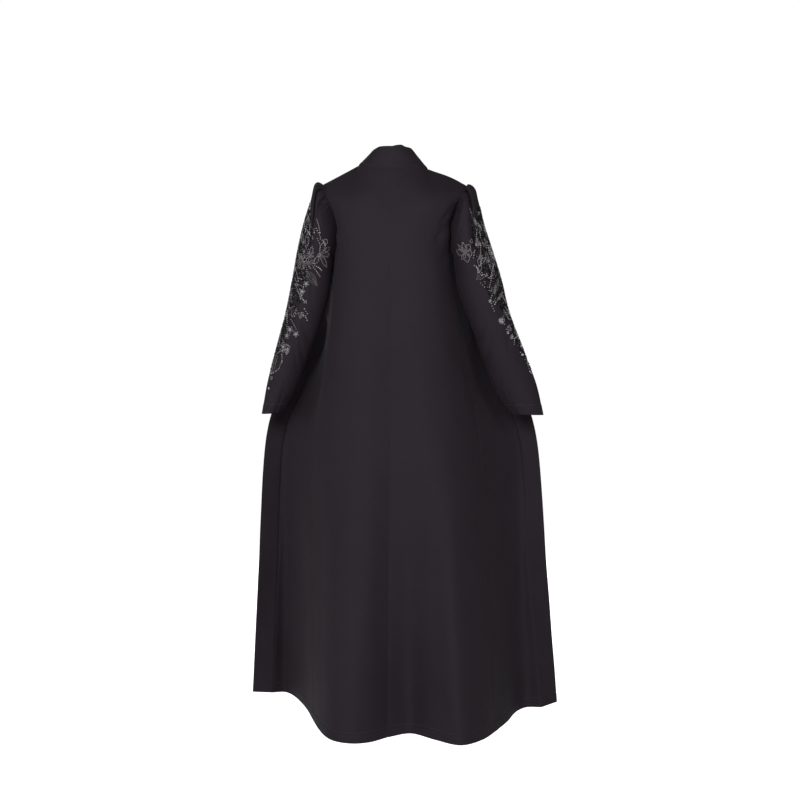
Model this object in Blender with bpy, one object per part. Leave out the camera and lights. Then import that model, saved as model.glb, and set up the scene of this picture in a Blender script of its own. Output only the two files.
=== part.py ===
"""Open-fronted abaya cloak, worn and held open at the sides.

Each cut piece is one closed cloth wall. The body is one flowing surface that is set out by level
sections from the nape to the hem, on each side of the centre-back seam, and the back, front and band
pieces are stretches of it. Metres; +Z up; the back faces +Y; the wearer's left is +X. The origin is
the centre of the neck opening, at the height of the nape seam.
"""

import bpy
import bmesh
from math import cos, exp, pi, sin
from mathutils import Vector

# Cloth
CLOTH_WALL = 0.002
BAND_WALL = 0.0026
SEAM_GAP = 0.0003
CLOTH_COLOUR = (0.0165, 0.0130, 0.0165, 1.0)
CLOTH_ROUGHNESS = 0.85

# Neck and shoulders
NECK_CENTRE = Vector((0.0, 0.070, 0.0))
COLLAR_TOP_CENTRE = Vector((0.0, 0.066, 0.057))
# The right shoulder is carried a little lower than the left
LEFT_SHOULDER = {
    "neck_side": Vector((0.094, 0.006, 0.015)),
    "tip": Vector((0.188, 0.0, -0.034)),
    "collar_top": Vector((0.058, 0.004, 0.049)),
}
RIGHT_SHOULDER = {
    "neck_side": Vector((0.086, 0.006, 0.005)),
    "tip": Vector((0.186, 0.0, -0.041)),
    "collar_top": Vector((0.051, 0.004, 0.047)),
}

# Heights of each level at the centre back, the side, the band seam and the band's free edge
LEVEL_HEIGHTS = {
    "yoke": (-0.060, -0.072, -0.055, -0.043),
    "chest": (-0.125, -0.130, -0.122, -0.112),
    "armpit": (-0.175, -0.178, -0.174, -0.165),
    "underarm": (-0.215, -0.215, -0.225, -0.208),
    "ribs": (-0.310, -0.310, -0.325, -0.310),
    "waist": (-0.400, -0.400, -0.435, -0.410),
    "forearm": (-0.550, -0.550, -0.570, -0.545),
    "hand": (-0.700, -0.700, -0.710, -0.700),
    "knee": (-1.050, -1.050, -1.050, -1.045),
    "hem": (-1.409, -1.404, -1.391, -1.388),
}

# Plan of each level, out from the centre back (x away from the middle, y to the back)
# Columns: centre, inner, crest, outer, flank, side, front flank, hollow, front middle, band seam, free edge
BOTH_SIDES_PLAN = {
    "yoke": ((0.000, 0.088), (0.040, 0.089), (0.078, 0.086), (0.115, 0.077), (0.147, 0.062), (0.171, 0.040),
             (0.152, -0.052), (0.132, -0.058), (0.110, -0.055), (0.090, -0.046), (0.042, -0.071)),
    "chest": ((0.000, 0.101), (0.036, 0.102), (0.072, 0.100), (0.104, 0.091), (0.131, 0.074), (0.149, 0.050),
              (0.138, -0.078), (0.124, -0.090), (0.107, -0.095), (0.088, -0.094), (0.034, -0.110)),
}
LEFT_PLAN = {
    "armpit": ((0.000, 0.104), (0.036, 0.106), (0.071, 0.103), (0.105, 0.092), (0.133, 0.069), (0.150, 0.038),
               (0.146, -0.080), (0.133, -0.104), (0.112, -0.114), (0.092, -0.117), (0.038, -0.135)),
    "underarm": ((0.000, 0.105), (0.037, 0.107), (0.073, 0.103), (0.109, 0.087), (0.142, 0.050),
                 (0.157, -0.002), (0.159, -0.052), (0.151, -0.095), (0.127, -0.120), (0.104, -0.130),
                 (0.057, -0.154)),
    "ribs": ((0.000, 0.107), (0.041, 0.110), (0.082, 0.106), (0.120, 0.088), (0.151, 0.050), (0.166, -0.003),
             (0.179, -0.046), (0.187, -0.080), (0.182, -0.106), (0.172, -0.126), (0.169, -0.181)),
    "waist": ((0.000, 0.112), (0.045, 0.118), (0.090, 0.112), (0.131, 0.090), (0.160, 0.045), (0.174, -0.004),
              (0.185, -0.048), (0.189, -0.092), (0.192, -0.125), (0.199, -0.146), (0.248, -0.156)),
    "forearm": ((0.000, 0.118), (0.049, 0.126), (0.098, 0.120), (0.143, 0.094), (0.176, 0.050), (0.194, 0.000),
                (0.213, -0.048), (0.230, -0.090), (0.246, -0.118), (0.262, -0.132), (0.310, -0.128)),
    "hand": ((0.000, 0.128), (0.052, 0.140), (0.104, 0.134), (0.152, 0.104), (0.189, 0.058), (0.215, 0.008),
             (0.248, -0.042), (0.278, -0.085), (0.298, -0.108), (0.313, -0.118), (0.357, -0.100)),
    "knee": ((-0.002, 0.172), (0.045, 0.205), (0.092, 0.209), (0.139, 0.176), (0.178, 0.112), (0.212, 0.045),
             (0.250, -0.042), (0.286, -0.108), (0.310, -0.138), (0.331, -0.132), (0.379, -0.110)),
    "hem": ((-0.005, 0.221), (0.033, 0.277), (0.078, 0.297), (0.125, 0.274), (0.164, 0.200), (0.199, 0.090),
            (0.243, -0.045), (0.285, -0.138), (0.318, -0.176), (0.347, -0.152), (0.402, -0.142)),
}
RIGHT_PLAN = {
    "armpit": ((0.000, 0.104), (0.036, 0.106), (0.071, 0.103), (0.103, 0.092), (0.129, 0.070), (0.144, 0.040),
               (0.141, -0.080), (0.130, -0.104), (0.112, -0.114), (0.092, -0.117), (0.038, -0.135)),
    "underarm": ((0.000, 0.105), (0.037, 0.107), (0.073, 0.103), (0.106, 0.088), (0.132, 0.052),
                 (0.146, 0.000), (0.150, -0.050), (0.144, -0.095), (0.126, -0.120), (0.104, -0.130),
                 (0.057, -0.154)),
    "ribs": ((0.000, 0.107), (0.041, 0.110), (0.081, 0.106), (0.115, 0.089), (0.139, 0.052), (0.152, -0.002),
             (0.173, -0.043), (0.183, -0.080), (0.180, -0.106), (0.172, -0.126), (0.169, -0.181)),
    "waist": ((0.000, 0.112), (0.045, 0.118), (0.090, 0.112), (0.130, 0.090), (0.157, 0.045), (0.171, -0.004),
              (0.184, -0.048), (0.189, -0.092), (0.192, -0.125), (0.199, -0.146), (0.248, -0.156)),
    "forearm": ((0.000, 0.118), (0.049, 0.124), (0.098, 0.119), (0.143, 0.096), (0.176, 0.052), (0.194, 0.000),
                (0.213, -0.046), (0.231, -0.086), (0.248, -0.112), (0.264, -0.126), (0.312, -0.124)),
    "hand": ((0.000, 0.128), (0.052, 0.133), (0.104, 0.134), (0.154, 0.112), (0.194, 0.066), (0.220, 0.014),
             (0.252, -0.038), (0.281, -0.076), (0.305, -0.098), (0.320, -0.108), (0.364, -0.100)),
    "knee": ((0.002, 0.172), (0.055, 0.160), (0.110, 0.184), (0.164, 0.202), (0.211, 0.158), (0.243, 0.088),
             (0.270, 0.012), (0.296, -0.048), (0.321, -0.080), (0.344, -0.078), (0.391, -0.103)),
    "hem": ((0.005, 0.221), (0.058, 0.181), (0.122, 0.240), (0.188, 0.290), (0.238, 0.235), (0.267, 0.152),
            (0.292, 0.060), (0.313, -0.032), (0.338, -0.067), (0.375, -0.058), (0.417, -0.109)),
}
SIDE_COLUMN = 5
SEAM_COLUMN = 9
# Above the underarm the back's edge and the front's are apart: y of the armhole's front edge
ARMHOLE_FRONT_EDGE = {"yoke": -0.036, "chest": -0.055, "armpit": -0.046}

# Steps between neighbouring levels, from the shoulder seam down
LEVEL_STEPS = (2, 2, 2, 2, 2, 2, 3, 3, 5, 5)
UNDERARM_LEVEL = 4
ARMHOLE_ROWS = 8
NECK_STEPS = 8
FRONT_STEPS = 8
BACK_STEPS = NECK_STEPS + FRONT_STEPS
BAND_STEPS = 2

# Sleeves, a row for each ring: outer x and z, inner x and z, half the depth, middle y
LEFT_SLEEVE_RINGS = {
    "puff": (0.199, -0.030, 0.1590, -0.2155, 0.0550, 0.000),
    "head": (0.209, -0.045, 0.1605, -0.2175, 0.0590, 0.000),
    "cap": (0.221, -0.080, 0.1615, -0.2220, 0.0610, 0.000),
    "upper": (0.238, -0.136, 0.1620, -0.2320, 0.0610, 0.000),
    "biceps": (0.253, -0.200, 0.1630, -0.2500, 0.0590, 0.000),
    "arm": (0.268, -0.283, 0.1700, -0.3120, 0.0560, 0.002),
    "elbow": (0.285, -0.368, 0.1930, -0.3940, 0.0550, 0.004),
    "forearm": (0.313, -0.468, 0.2330, -0.4940, 0.0540, 0.000),
    "wrist": (0.336, -0.550, 0.2640, -0.5680, 0.0510, -0.010),
    "cuff": (0.352, -0.630, 0.3040, -0.6270, 0.0460, -0.022),
}
RIGHT_SLEEVE_RINGS = {
    "puff": (0.191, -0.038, 0.1490, -0.2155, 0.0550, 0.000),
    "head": (0.206, -0.051, 0.1510, -0.2175, 0.0590, 0.000),
    "cap": (0.216, -0.080, 0.1525, -0.2220, 0.0610, 0.000),
    "upper": (0.230, -0.140, 0.1535, -0.2320, 0.0610, 0.000),
    "biceps": (0.249, -0.200, 0.1545, -0.2500, 0.0590, 0.000),
    "arm": (0.274, -0.280, 0.1640, -0.3120, 0.0540, 0.002),
    "elbow": (0.295, -0.366, 0.1950, -0.3940, 0.0470, 0.004),
    "forearm": (0.332, -0.464, 0.2300, -0.4940, 0.0430, 0.000),
    "wrist": (0.364, -0.550, 0.2600, -0.5680, 0.0390, -0.010),
    "cuff": (0.382, -0.630, 0.3000, -0.6270, 0.0360, -0.020),
}
RING_STEPS = (1, 1, 1, 1, 1, 2, 2, 2, 2, 2)
HEAD_POINTS = 11
UNDER_POINTS = 7
HEAD_SHARE = 0.46
GATHER_DEPTH = 0.0032
GATHER_FULLEST = 0.012
GATHER_REACH = 0.055
# How slowly the gathers die away round the head, from its top down to the underarm
GATHER_ROUND_POWER = 0.5


def through(points, t):
    """The point at t, counted in intervals, on the smooth curve through the points."""
    last = len(points) - 1
    i = min(int(t), last - 1)
    f = t - i
    start, end = points[i], points[i + 1]
    into = (end - points[i - 1]) / 2 if i > 0 else end - start
    out_of = (points[i + 2] - start) / 2 if i + 2 <= last else end - start
    return (
        start * (2 * f**3 - 3 * f**2 + 1)
        + into * (f**3 - 2 * f**2 + f)
        + end * (3 * f**2 - 2 * f**3)
        + out_of * (f**3 - f**2)
    )


def section(name, plan, side):
    """A level's points, out from the centre back; side is 1 on the left and -1 on the right."""
    centre_z, side_z, seam_z, free_z = LEVEL_HEIGHTS[name]
    points = []
    for column, (x, y) in enumerate(plan[name]):
        if column <= SIDE_COLUMN:
            z = centre_z + (side_z - centre_z) * column / SIDE_COLUMN
        elif column <= SEAM_COLUMN:
            share = (column - SIDE_COLUMN) / (SEAM_COLUMN - SIDE_COLUMN)
            z = side_z + (seam_z - side_z) * share
        else:
            z = free_z
        points.append(Vector((side * x, y, z)))
    return points


def mirrored(point, side):
    return Vector((side * point.x, point.y, point.z))


def neck_arc(middle, end, share):
    """A quarter turn from the centre back, share 0, to the side of the neck, share 1."""
    a = share * pi / 2
    return Vector((
        end.x * sin(a),
        end.y + (middle.y - end.y) * cos(a),
        middle.z + (end.z - middle.z) * sin(a) ** 2,
    ))


def down(top_row, rows, side_column=None):
    """Rows of points interpolated down through the levels, the top row first.

    The side column turns a corner at the underarm, where the armhole meets the side seam.
    """
    named = [top_row] + rows
    columns = [[row[i] for row in named] for i in range(len(top_row))]
    grid = [list(top_row)]
    for level, steps in enumerate(LEVEL_STEPS):
        for step in range(1, steps + 1):
            row = [through(column, level + step / steps) for column in columns]
            if side_column is not None:
                column = columns[side_column]
                if level < UNDERARM_LEVEL:
                    row[side_column] = through(column[: UNDERARM_LEVEL + 1], level + step / steps)
                else:
                    below = level - UNDERARM_LEVEL + step / steps
                    row[side_column] = through(column[UNDERARM_LEVEL:], below)
            grid.append(row)
    return grid


def body_grids(side, shoulder_points, side_plan):
    """The back, front and band grids of one side, rows running down from the shoulder."""
    neck_side, tip, collar_top = (shoulder_points[name] for name in ("neck_side", "tip", "collar_top"))
    plan = {**BOTH_SIDES_PLAN, **side_plan}
    levels = [section(name, plan, side) for name in LEVEL_HEIGHTS]
    backs, fronts = [], []
    for name, points in zip(LEVEL_HEIGHTS, levels):
        back = points[: SIDE_COLUMN + 1]
        front = points[SIDE_COLUMN : SEAM_COLUMN + 1]
        if name in ARMHOLE_FRONT_EDGE:
            front[0] = Vector((front[0].x, ARMHOLE_FRONT_EDGE[name], front[0].z))
        backs.append([through(back, SIDE_COLUMN * i / BACK_STEPS) for i in range(BACK_STEPS + 1)])
        spans = SEAM_COLUMN - SIDE_COLUMN
        fronts.append([through(front, spans * i / FRONT_STEPS) for i in range(FRONT_STEPS + 1)])
    neck = [neck_arc(NECK_CENTRE, neck_side, i / NECK_STEPS) for i in range(NECK_STEPS + 1)]
    shoulder = [neck_side.lerp(tip, i / FRONT_STEPS) for i in range(1, FRONT_STEPS + 1)]
    back_top = [mirrored(p, side) for p in neck + shoulder]
    front_top = [back_top[BACK_STEPS - i] for i in range(FRONT_STEPS + 1)]
    back_grid = down(back_top, backs, BACK_STEPS)
    front_grid = down(front_top, fronts, 0)
    free_edge = down([mirrored(collar_top, side)], [[points[-1]] for points in levels])
    seam_line = [row[-1] for row in reversed(front_grid)]
    free_line = [row[0] for row in reversed(free_edge)]
    for i in range(NECK_STEPS - 1, -1, -1):
        seam_line.append(mirrored(neck[i], side))
        top = neck_arc(COLLAR_TOP_CENTRE, collar_top, i / NECK_STEPS)
        free_line.append(mirrored(top, side))
    band_grid = [
        [a.lerp(b, i / BAND_STEPS) for i in range(BAND_STEPS + 1)] for a, b in zip(seam_line, free_line)
    ]
    return back_grid, front_grid, band_grid


def along(points, share):
    """The point at a share of the length of a polyline."""
    lengths = [(b - a).length for a, b in zip(points, points[1:])]
    left = share * sum(lengths)
    for a, b, length in zip(points, points[1:], lengths):
        if left <= length:
            return a.lerp(b, left / length)
        left -= length
    return points[-1].copy()


def sleeve_shares():
    """Places round half a ring, 0 at the top and 1 underneath, close together over the head."""
    head = [HEAD_SHARE * i / HEAD_POINTS for i in range(HEAD_POINTS)]
    under = [HEAD_SHARE + (1 - HEAD_SHARE) * i / UNDER_POINTS for i in range(UNDER_POINTS + 1)]
    return head + under


def sleeve_grid(side, rings, back_grid, front_grid):
    """Rings from the armhole to the cuff, each going round by the back and home by the front."""
    shares = sleeve_shares()
    places = [(s, 1) for s in shares] + [(s, -1) for s in reversed(shares[1:-1])]
    edges = {
        1: [back_grid[row][-1] for row in range(ARMHOLE_ROWS + 1)],
        -1: [front_grid[row][0] for row in range(ARMHOLE_ROWS + 1)],
    }
    named = [[along(edges[turn], s) for s, turn in places]]
    for outer_x, outer_z, inner_x, inner_z, depth, middle_y in rings.values():
        outer = Vector((side * outer_x, middle_y, outer_z))
        inner = Vector((side * inner_x, middle_y, inner_z))
        centre = (outer + inner) / 2
        named.append([
            centre + (outer - centre) * cos(pi * s) + Vector((0, turn * depth * sin(pi * s), 0))
            for s, turn in places
        ])
    columns = [[ring[i] for ring in named] for i in range(len(places))]
    grid = [named[0]]
    for level, steps in enumerate(RING_STEPS):
        for step in range(1, steps + 1):
            grid.append([through(column, level + step / steps) for column in columns])
    for ring in grid[1:]:
        middle = sum(ring, Vector()) / len(ring)
        gathered(ring, grid[0], middle)
    return grid


def gathered(ring, seam, middle):
    """Folds the ring's head in and out, less the further it lies from the seam."""
    count = len(ring)
    for i, point in enumerate(ring):
        place = i if i <= count / 2 else count - i
        if place >= HEAD_POINTS:
            continue
        from_seam = (point - seam[i]).length
        fade = exp(-(((from_seam - GATHER_FULLEST) / GATHER_REACH) ** 2))
        fade *= (1 - place / HEAD_POINTS) ** GATHER_ROUND_POWER
        ring[i] = point + (point - middle).normalized() * GATHER_DEPTH * fade * cos(pi * place)


def grid_normals(grid, round_ring):
    """A unit normal at each point of a grid, from its neighbours along and across."""
    rows, width = len(grid), len(grid[0])
    normals = []
    for r in range(rows):
        line = []
        for c in range(width):
            up, low = grid[max(r - 1, 0)][c], grid[min(r + 1, rows - 1)][c]
            if round_ring:
                left, right = grid[r][(c - 1) % width], grid[r][(c + 1) % width]
            else:
                left, right = grid[r][max(c - 1, 0)], grid[r][min(c + 1, width - 1)]
            line.append((up - low).cross(right - left).normalized())
        normals.append(line)
    return normals


def key(point):
    return tuple(round(value, 5) for value in point)


def share_seam_normals(pieces):
    """Gives the pieces that meet at a seam point one common normal there, so that their walls line up."""
    met = {}
    for grid, normals in pieces:
        for row, line in zip(grid, normals):
            for point, normal in zip(row, line):
                met.setdefault(key(point), []).append(normal)
    for grid, normals in pieces:
        for r, row in enumerate(grid):
            for c, point in enumerate(row):
                normals[r][c] = sum(met[key(point)], Vector()).normalized()


def drawn_in(grid, sides):
    """The grid with the named sides drawn in by half a seam gap."""
    half = SEAM_GAP / 2
    moved = [list(row) for row in grid]
    if "start" in sides:
        for row in moved:
            row[0] = row[0] + (row[1] - row[0]).normalized() * half
    if "end" in sides:
        for row in moved:
            row[-1] = row[-1] + (row[-2] - row[-1]).normalized() * half
    if "top" in sides:
        moved[0] = [a + (b - a).normalized() * half for a, b in zip(moved[0], moved[1])]
    if "bottom" in sides:
        moved[-1] = [a + (b - a).normalized() * half for a, b in zip(moved[-1], moved[-2])]
    return moved


def cloth_material(name):
    material = bpy.data.materials.new(name)
    material.use_nodes = True
    shader = material.node_tree.nodes["Principled BSDF"]
    shader.inputs["Base Color"].default_value = CLOTH_COLOUR
    shader.inputs["Roughness"].default_value = CLOTH_ROUGHNESS
    shader.inputs["Metallic"].default_value = 0.0
    return material


def cloth_wall(name, grid, normals, wall, round_ring=False):
    """One closed wall: the grid outside, the same grid a wall's thickness in, and rims between."""
    mesh_builder = bmesh.new()
    outer = [[mesh_builder.verts.new(p) for p in row] for row in grid]
    inner = [
        [mesh_builder.verts.new(p - n * wall) for p, n in zip(row, line)] for row, line in zip(grid, normals)
    ]
    rows, width = len(grid), len(grid[0])

    def patch(a, b, c, d):
        mesh_builder.faces.new((a, b, c))
        mesh_builder.faces.new((a, c, d))

    spans = width if round_ring else width - 1
    for r in range(rows - 1):
        for c in range(spans):
            n = (c + 1) % width
            patch(outer[r][c], outer[r + 1][c], outer[r + 1][n], outer[r][n])
            patch(inner[r][n], inner[r + 1][n], inner[r + 1][c], inner[r][c])
    for c in range(spans):
        n = (c + 1) % width
        patch(outer[0][n], inner[0][n], inner[0][c], outer[0][c])
        patch(outer[-1][c], inner[-1][c], inner[-1][n], outer[-1][n])
    if not round_ring:
        for r in range(rows - 1):
            patch(outer[r][0], inner[r][0], inner[r + 1][0], outer[r + 1][0])
            patch(outer[r + 1][-1], inner[r + 1][-1], inner[r][-1], outer[r][-1])
    bmesh.ops.recalc_face_normals(mesh_builder, faces=mesh_builder.faces)
    mesh = bpy.data.meshes.new(name)
    mesh_builder.to_mesh(mesh)
    mesh_builder.free()
    mesh.shade_smooth()
    mesh.materials.append(cloth_material(name))
    piece = bpy.data.objects.new(name, mesh)
    bpy.context.scene.collection.objects.link(piece)
    return piece


def outward(grid, normals, side):
    """Turns the normals of a mirrored side's grid the same way as the other's."""
    if side < 0:
        for line in normals:
            for c, normal in enumerate(line):
                line[c] = -normal
    return grid, normals


def build():
    for old in list(bpy.data.objects):
        bpy.data.objects.remove(old)
    flat_pieces = {}
    sleeves = {}
    hands = (
        ("left", 1, LEFT_SHOULDER, LEFT_PLAN, LEFT_SLEEVE_RINGS),
        ("right", -1, RIGHT_SHOULDER, RIGHT_PLAN, RIGHT_SLEEVE_RINGS),
    )
    for hand, side, shoulder_points, side_plan, rings in hands:
        back, front, band = body_grids(side, shoulder_points, side_plan)
        flat_pieces[hand + "_back"] = outward(back, grid_normals(back, False), side)
        flat_pieces[hand + "_front"] = outward(front, grid_normals(front, False), side)
        # The band's rows run up from the hem, against the panels' rows
        flat_pieces[hand + "_band"] = outward(band, grid_normals(band, False), -side)
        ring_grid = sleeve_grid(side, rings, back, front)
        # The sleeve's rings go round the other way
        sleeves[hand + "_sleeve"] = outward(ring_grid, grid_normals(ring_grid, True), -side)
    share_seam_normals(list(flat_pieces.values()))
    seams = {
        "back": ("start", "end", "top"),
        "front": ("start", "end", "top"),
        "band": ("start", "bottom"),
    }
    for name, (grid, normals) in flat_pieces.items():
        kind = name.split("_")[1]
        wall = BAND_WALL if kind == "band" else CLOTH_WALL
        cloth_wall(name, drawn_in(grid, seams[kind]), normals, wall)
    for name, (grid, normals) in sleeves.items():
        cloth_wall(name, drawn_in(grid, ("top",)), normals, CLOTH_WALL, round_ring=True)


build()
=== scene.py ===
from math import cos, pi, radians, sin, sqrt

import bpy
import numpy as np
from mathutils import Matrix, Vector
from mathutils.bvhtree import BVHTree


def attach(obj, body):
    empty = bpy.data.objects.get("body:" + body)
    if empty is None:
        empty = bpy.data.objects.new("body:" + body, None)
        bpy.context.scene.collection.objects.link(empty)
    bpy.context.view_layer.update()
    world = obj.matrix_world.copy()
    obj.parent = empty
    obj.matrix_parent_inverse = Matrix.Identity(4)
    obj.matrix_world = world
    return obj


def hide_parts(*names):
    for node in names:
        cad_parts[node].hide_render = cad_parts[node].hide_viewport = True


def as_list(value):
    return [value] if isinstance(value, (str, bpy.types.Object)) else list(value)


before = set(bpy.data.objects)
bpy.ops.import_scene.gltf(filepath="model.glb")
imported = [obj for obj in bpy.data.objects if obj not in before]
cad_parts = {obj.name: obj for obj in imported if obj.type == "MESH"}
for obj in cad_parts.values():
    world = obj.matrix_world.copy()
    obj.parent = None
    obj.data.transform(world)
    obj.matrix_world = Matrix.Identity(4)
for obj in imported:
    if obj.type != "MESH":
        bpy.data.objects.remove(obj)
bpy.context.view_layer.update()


# The cut
# The coat is cut from one black crepe and flows as one surface from the shoulders to the hem. Each level
# below is a line round it, out from the centre back; the pieces are stretches of these lines, sewn edge
# to edge. Lengths are in metres, with the back towards +Y and the wearer's left towards +X.
LEVELS = ("yoke", "chest", "armpit", "underarm", "ribs", "waist", "forearm", "hand", "knee", "hem")
CENTRE_HEIGHTS = (-0.060, -0.125, -0.175, -0.215, -0.310, -0.400, -0.550, -0.700, -1.050, -1.409)
SIDE_HEIGHTS = (-0.072, -0.130, -0.178, -0.215, -0.310, -0.400, -0.550, -0.700, -1.050, -1.404)
SEAM_HEIGHTS = (-0.055, -0.122, -0.174, -0.225, -0.325, -0.435, -0.570, -0.710, -1.050, -1.391)
FREE_HEIGHTS = (-0.043, -0.112, -0.165, -0.208, -0.310, -0.410, -0.545, -0.700, -1.045, -1.388)
# Plan of each level, as x and y of: centre back, inner, crest, outer, flank, side, front flank, hollow,
# middle, seam, free edge
BOTH_SIDES_PLAN = {
    "yoke": ((0.000, 0.088), (0.040, 0.089), (0.078, 0.086), (0.115, 0.077), (0.147, 0.062), (0.171, 0.040),
             (0.152, -0.052), (0.132, -0.058), (0.110, -0.055), (0.090, -0.046), (0.042, -0.071)),
    "chest": ((0.000, 0.101), (0.036, 0.102), (0.072, 0.100), (0.104, 0.091), (0.131, 0.074), (0.149, 0.050),
              (0.138, -0.078), (0.124, -0.090), (0.107, -0.095), (0.088, -0.094), (0.034, -0.110)),
}
LEFT_PLAN = {
    "armpit": ((0.000, 0.104), (0.036, 0.106), (0.071, 0.103), (0.105, 0.092), (0.133, 0.069), (0.150, 0.038),
               (0.146, -0.080), (0.133, -0.104), (0.112, -0.114), (0.092, -0.117), (0.038, -0.135)),
    "underarm": ((0.000, 0.105), (0.037, 0.107), (0.073, 0.103), (0.109, 0.087), (0.142, 0.050),
                 (0.157, -0.002), (0.159, -0.052), (0.151, -0.095), (0.127, -0.120), (0.104, -0.130),
                 (0.057, -0.154)),
    "ribs": ((0.000, 0.107), (0.041, 0.110), (0.082, 0.106), (0.120, 0.088), (0.151, 0.050), (0.166, -0.003),
             (0.179, -0.046), (0.187, -0.080), (0.182, -0.106), (0.172, -0.126), (0.169, -0.181)),
    "waist": ((0.000, 0.112), (0.045, 0.118), (0.090, 0.112), (0.131, 0.090), (0.160, 0.045), (0.174, -0.004),
              (0.185, -0.048), (0.189, -0.092), (0.192, -0.125), (0.199, -0.146), (0.248, -0.156)),
    "forearm": ((0.000, 0.118), (0.049, 0.126), (0.098, 0.120), (0.143, 0.094), (0.176, 0.050),
                (0.194, 0.000), (0.213, -0.048), (0.230, -0.090), (0.246, -0.118), (0.262, -0.132),
                (0.310, -0.128)),
    "hand": ((0.000, 0.128), (0.052, 0.140), (0.104, 0.134), (0.152, 0.104), (0.189, 0.058), (0.215, 0.008),
             (0.248, -0.042), (0.278, -0.085), (0.298, -0.108), (0.313, -0.118), (0.357, -0.100)),
    "knee": ((-0.002, 0.172), (0.045, 0.205), (0.092, 0.209), (0.139, 0.176), (0.178, 0.112), (0.212, 0.045),
             (0.250, -0.042), (0.286, -0.108), (0.310, -0.138), (0.331, -0.132), (0.379, -0.110)),
    "hem": ((-0.005, 0.221), (0.033, 0.277), (0.078, 0.297), (0.125, 0.274), (0.164, 0.200), (0.199, 0.090),
            (0.243, -0.045), (0.285, -0.138), (0.318, -0.176), (0.347, -0.152), (0.402, -0.142)),
}
RIGHT_PLAN = {
    "armpit": ((0.000, 0.104), (0.036, 0.106), (0.071, 0.103), (0.103, 0.092), (0.129, 0.070), (0.144, 0.040),
               (0.141, -0.080), (0.130, -0.104), (0.112, -0.114), (0.092, -0.117), (0.038, -0.135)),
    "underarm": ((0.000, 0.105), (0.037, 0.107), (0.073, 0.103), (0.106, 0.088), (0.132, 0.052),
                 (0.146, 0.000), (0.150, -0.050), (0.144, -0.095), (0.126, -0.120), (0.104, -0.130),
                 (0.057, -0.154)),
    "ribs": ((0.000, 0.107), (0.041, 0.110), (0.081, 0.106), (0.115, 0.089), (0.139, 0.052), (0.152, -0.002),
             (0.173, -0.043), (0.183, -0.080), (0.180, -0.106), (0.172, -0.126), (0.169, -0.181)),
    "waist": ((0.000, 0.112), (0.045, 0.118), (0.090, 0.112), (0.130, 0.090), (0.157, 0.045), (0.171, -0.004),
              (0.184, -0.048), (0.189, -0.092), (0.192, -0.125), (0.199, -0.146), (0.248, -0.156)),
    "forearm": ((0.000, 0.118), (0.049, 0.124), (0.098, 0.119), (0.143, 0.096), (0.176, 0.052),
                (0.194, 0.000), (0.213, -0.046), (0.231, -0.086), (0.248, -0.112), (0.264, -0.126),
                (0.312, -0.124)),
    "hand": ((0.000, 0.128), (0.052, 0.133), (0.104, 0.134), (0.154, 0.112), (0.194, 0.066), (0.220, 0.014),
             (0.252, -0.038), (0.281, -0.076), (0.305, -0.098), (0.320, -0.108), (0.364, -0.100)),
    "knee": ((0.002, 0.172), (0.055, 0.160), (0.110, 0.184), (0.164, 0.202), (0.211, 0.158), (0.243, 0.088),
             (0.270, 0.012), (0.296, -0.048), (0.321, -0.080), (0.344, -0.078), (0.391, -0.103)),
    "hem": ((0.005, 0.221), (0.058, 0.181), (0.122, 0.240), (0.188, 0.290), (0.238, 0.235), (0.267, 0.152),
            (0.292, 0.060), (0.313, -0.032), (0.338, -0.067), (0.375, -0.058), (0.417, -0.109)),
}
SIDE, SEAM = 5, 9
UNDERARM = 4
# The front's side edge follows the armhole at these levels
ARMHOLE_FRONT = {"yoke": -0.036, "chest": -0.055, "armpit": -0.046}
NECK_CENTRE = (0.0, 0.070, 0.0)
COLLAR_CENTRE = (0.0, 0.066, 0.057)
# Each shoulder: both ends of its seam and how far it bows up, the side of the collar's edge, and how much
# that edge rises at shares of the way round from the centre back
COLLAR_SHARES = (0.0, 0.15, 0.30, 0.42, 0.55, 0.70, 0.85, 1.0)
LEFT_SHOULDER = {
    "neck": (0.094, 0.006, 0.015),
    "tip": (0.188, 0.0, -0.0325),
    "bow": 0.0,
    "collar": (0.058, 0.004, 0.049),
    "rise": (-0.0005, 0.0005, 0.0020, 0.0030, 0.0015, 0.0015, 0.0010, 0.0),
}
RIGHT_SHOULDER = {
    "neck": (0.086, 0.006, 0.004),
    "tip": (0.186, 0.0, -0.040),
    "bow": 0.0045,
    "collar": (0.051, 0.004, 0.047),
    "rise": (-0.0005, 0.0030, 0.0055, 0.0030, 0.0042, 0.0050, 0.0020, 0.0),
}
HANDS = {"left": 1, "right": -1}

# Fine lines down the cloth between the levels, closer together over the hem's turning, and fine columns
# across each panel, closer together beside its seams
LINES_DOWN = (8, 8, 7, 6, 12, 12, 19, 19, 44)
LINES_ABOVE_TURN, LINES_IN_TURN = 38, 22
HEM_TURN = 0.025
HEM_SHARE = 0.90
EDGE_SHARES = (0.004, 0.009, 0.018)
MIDDLE_SHARES = np.linspace(0.03, 0.97, 46)
SHARES = np.array([0.0, *EDGE_SHARES, *MIDDLE_SHARES, *[1 - share for share in reversed(EDGE_SHARES)], 1.0])
ON_NECK = SHARES <= 0.5
NECK_ROWS = 24
BAND_SHARES = np.array([0.0, 0.02, 0.05, 0.12, 0.25, 0.4, 0.55, 0.7, 0.82, 0.9, 0.95, 0.98, 1.0])
CORNER_SPREAD = 0.16


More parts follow.
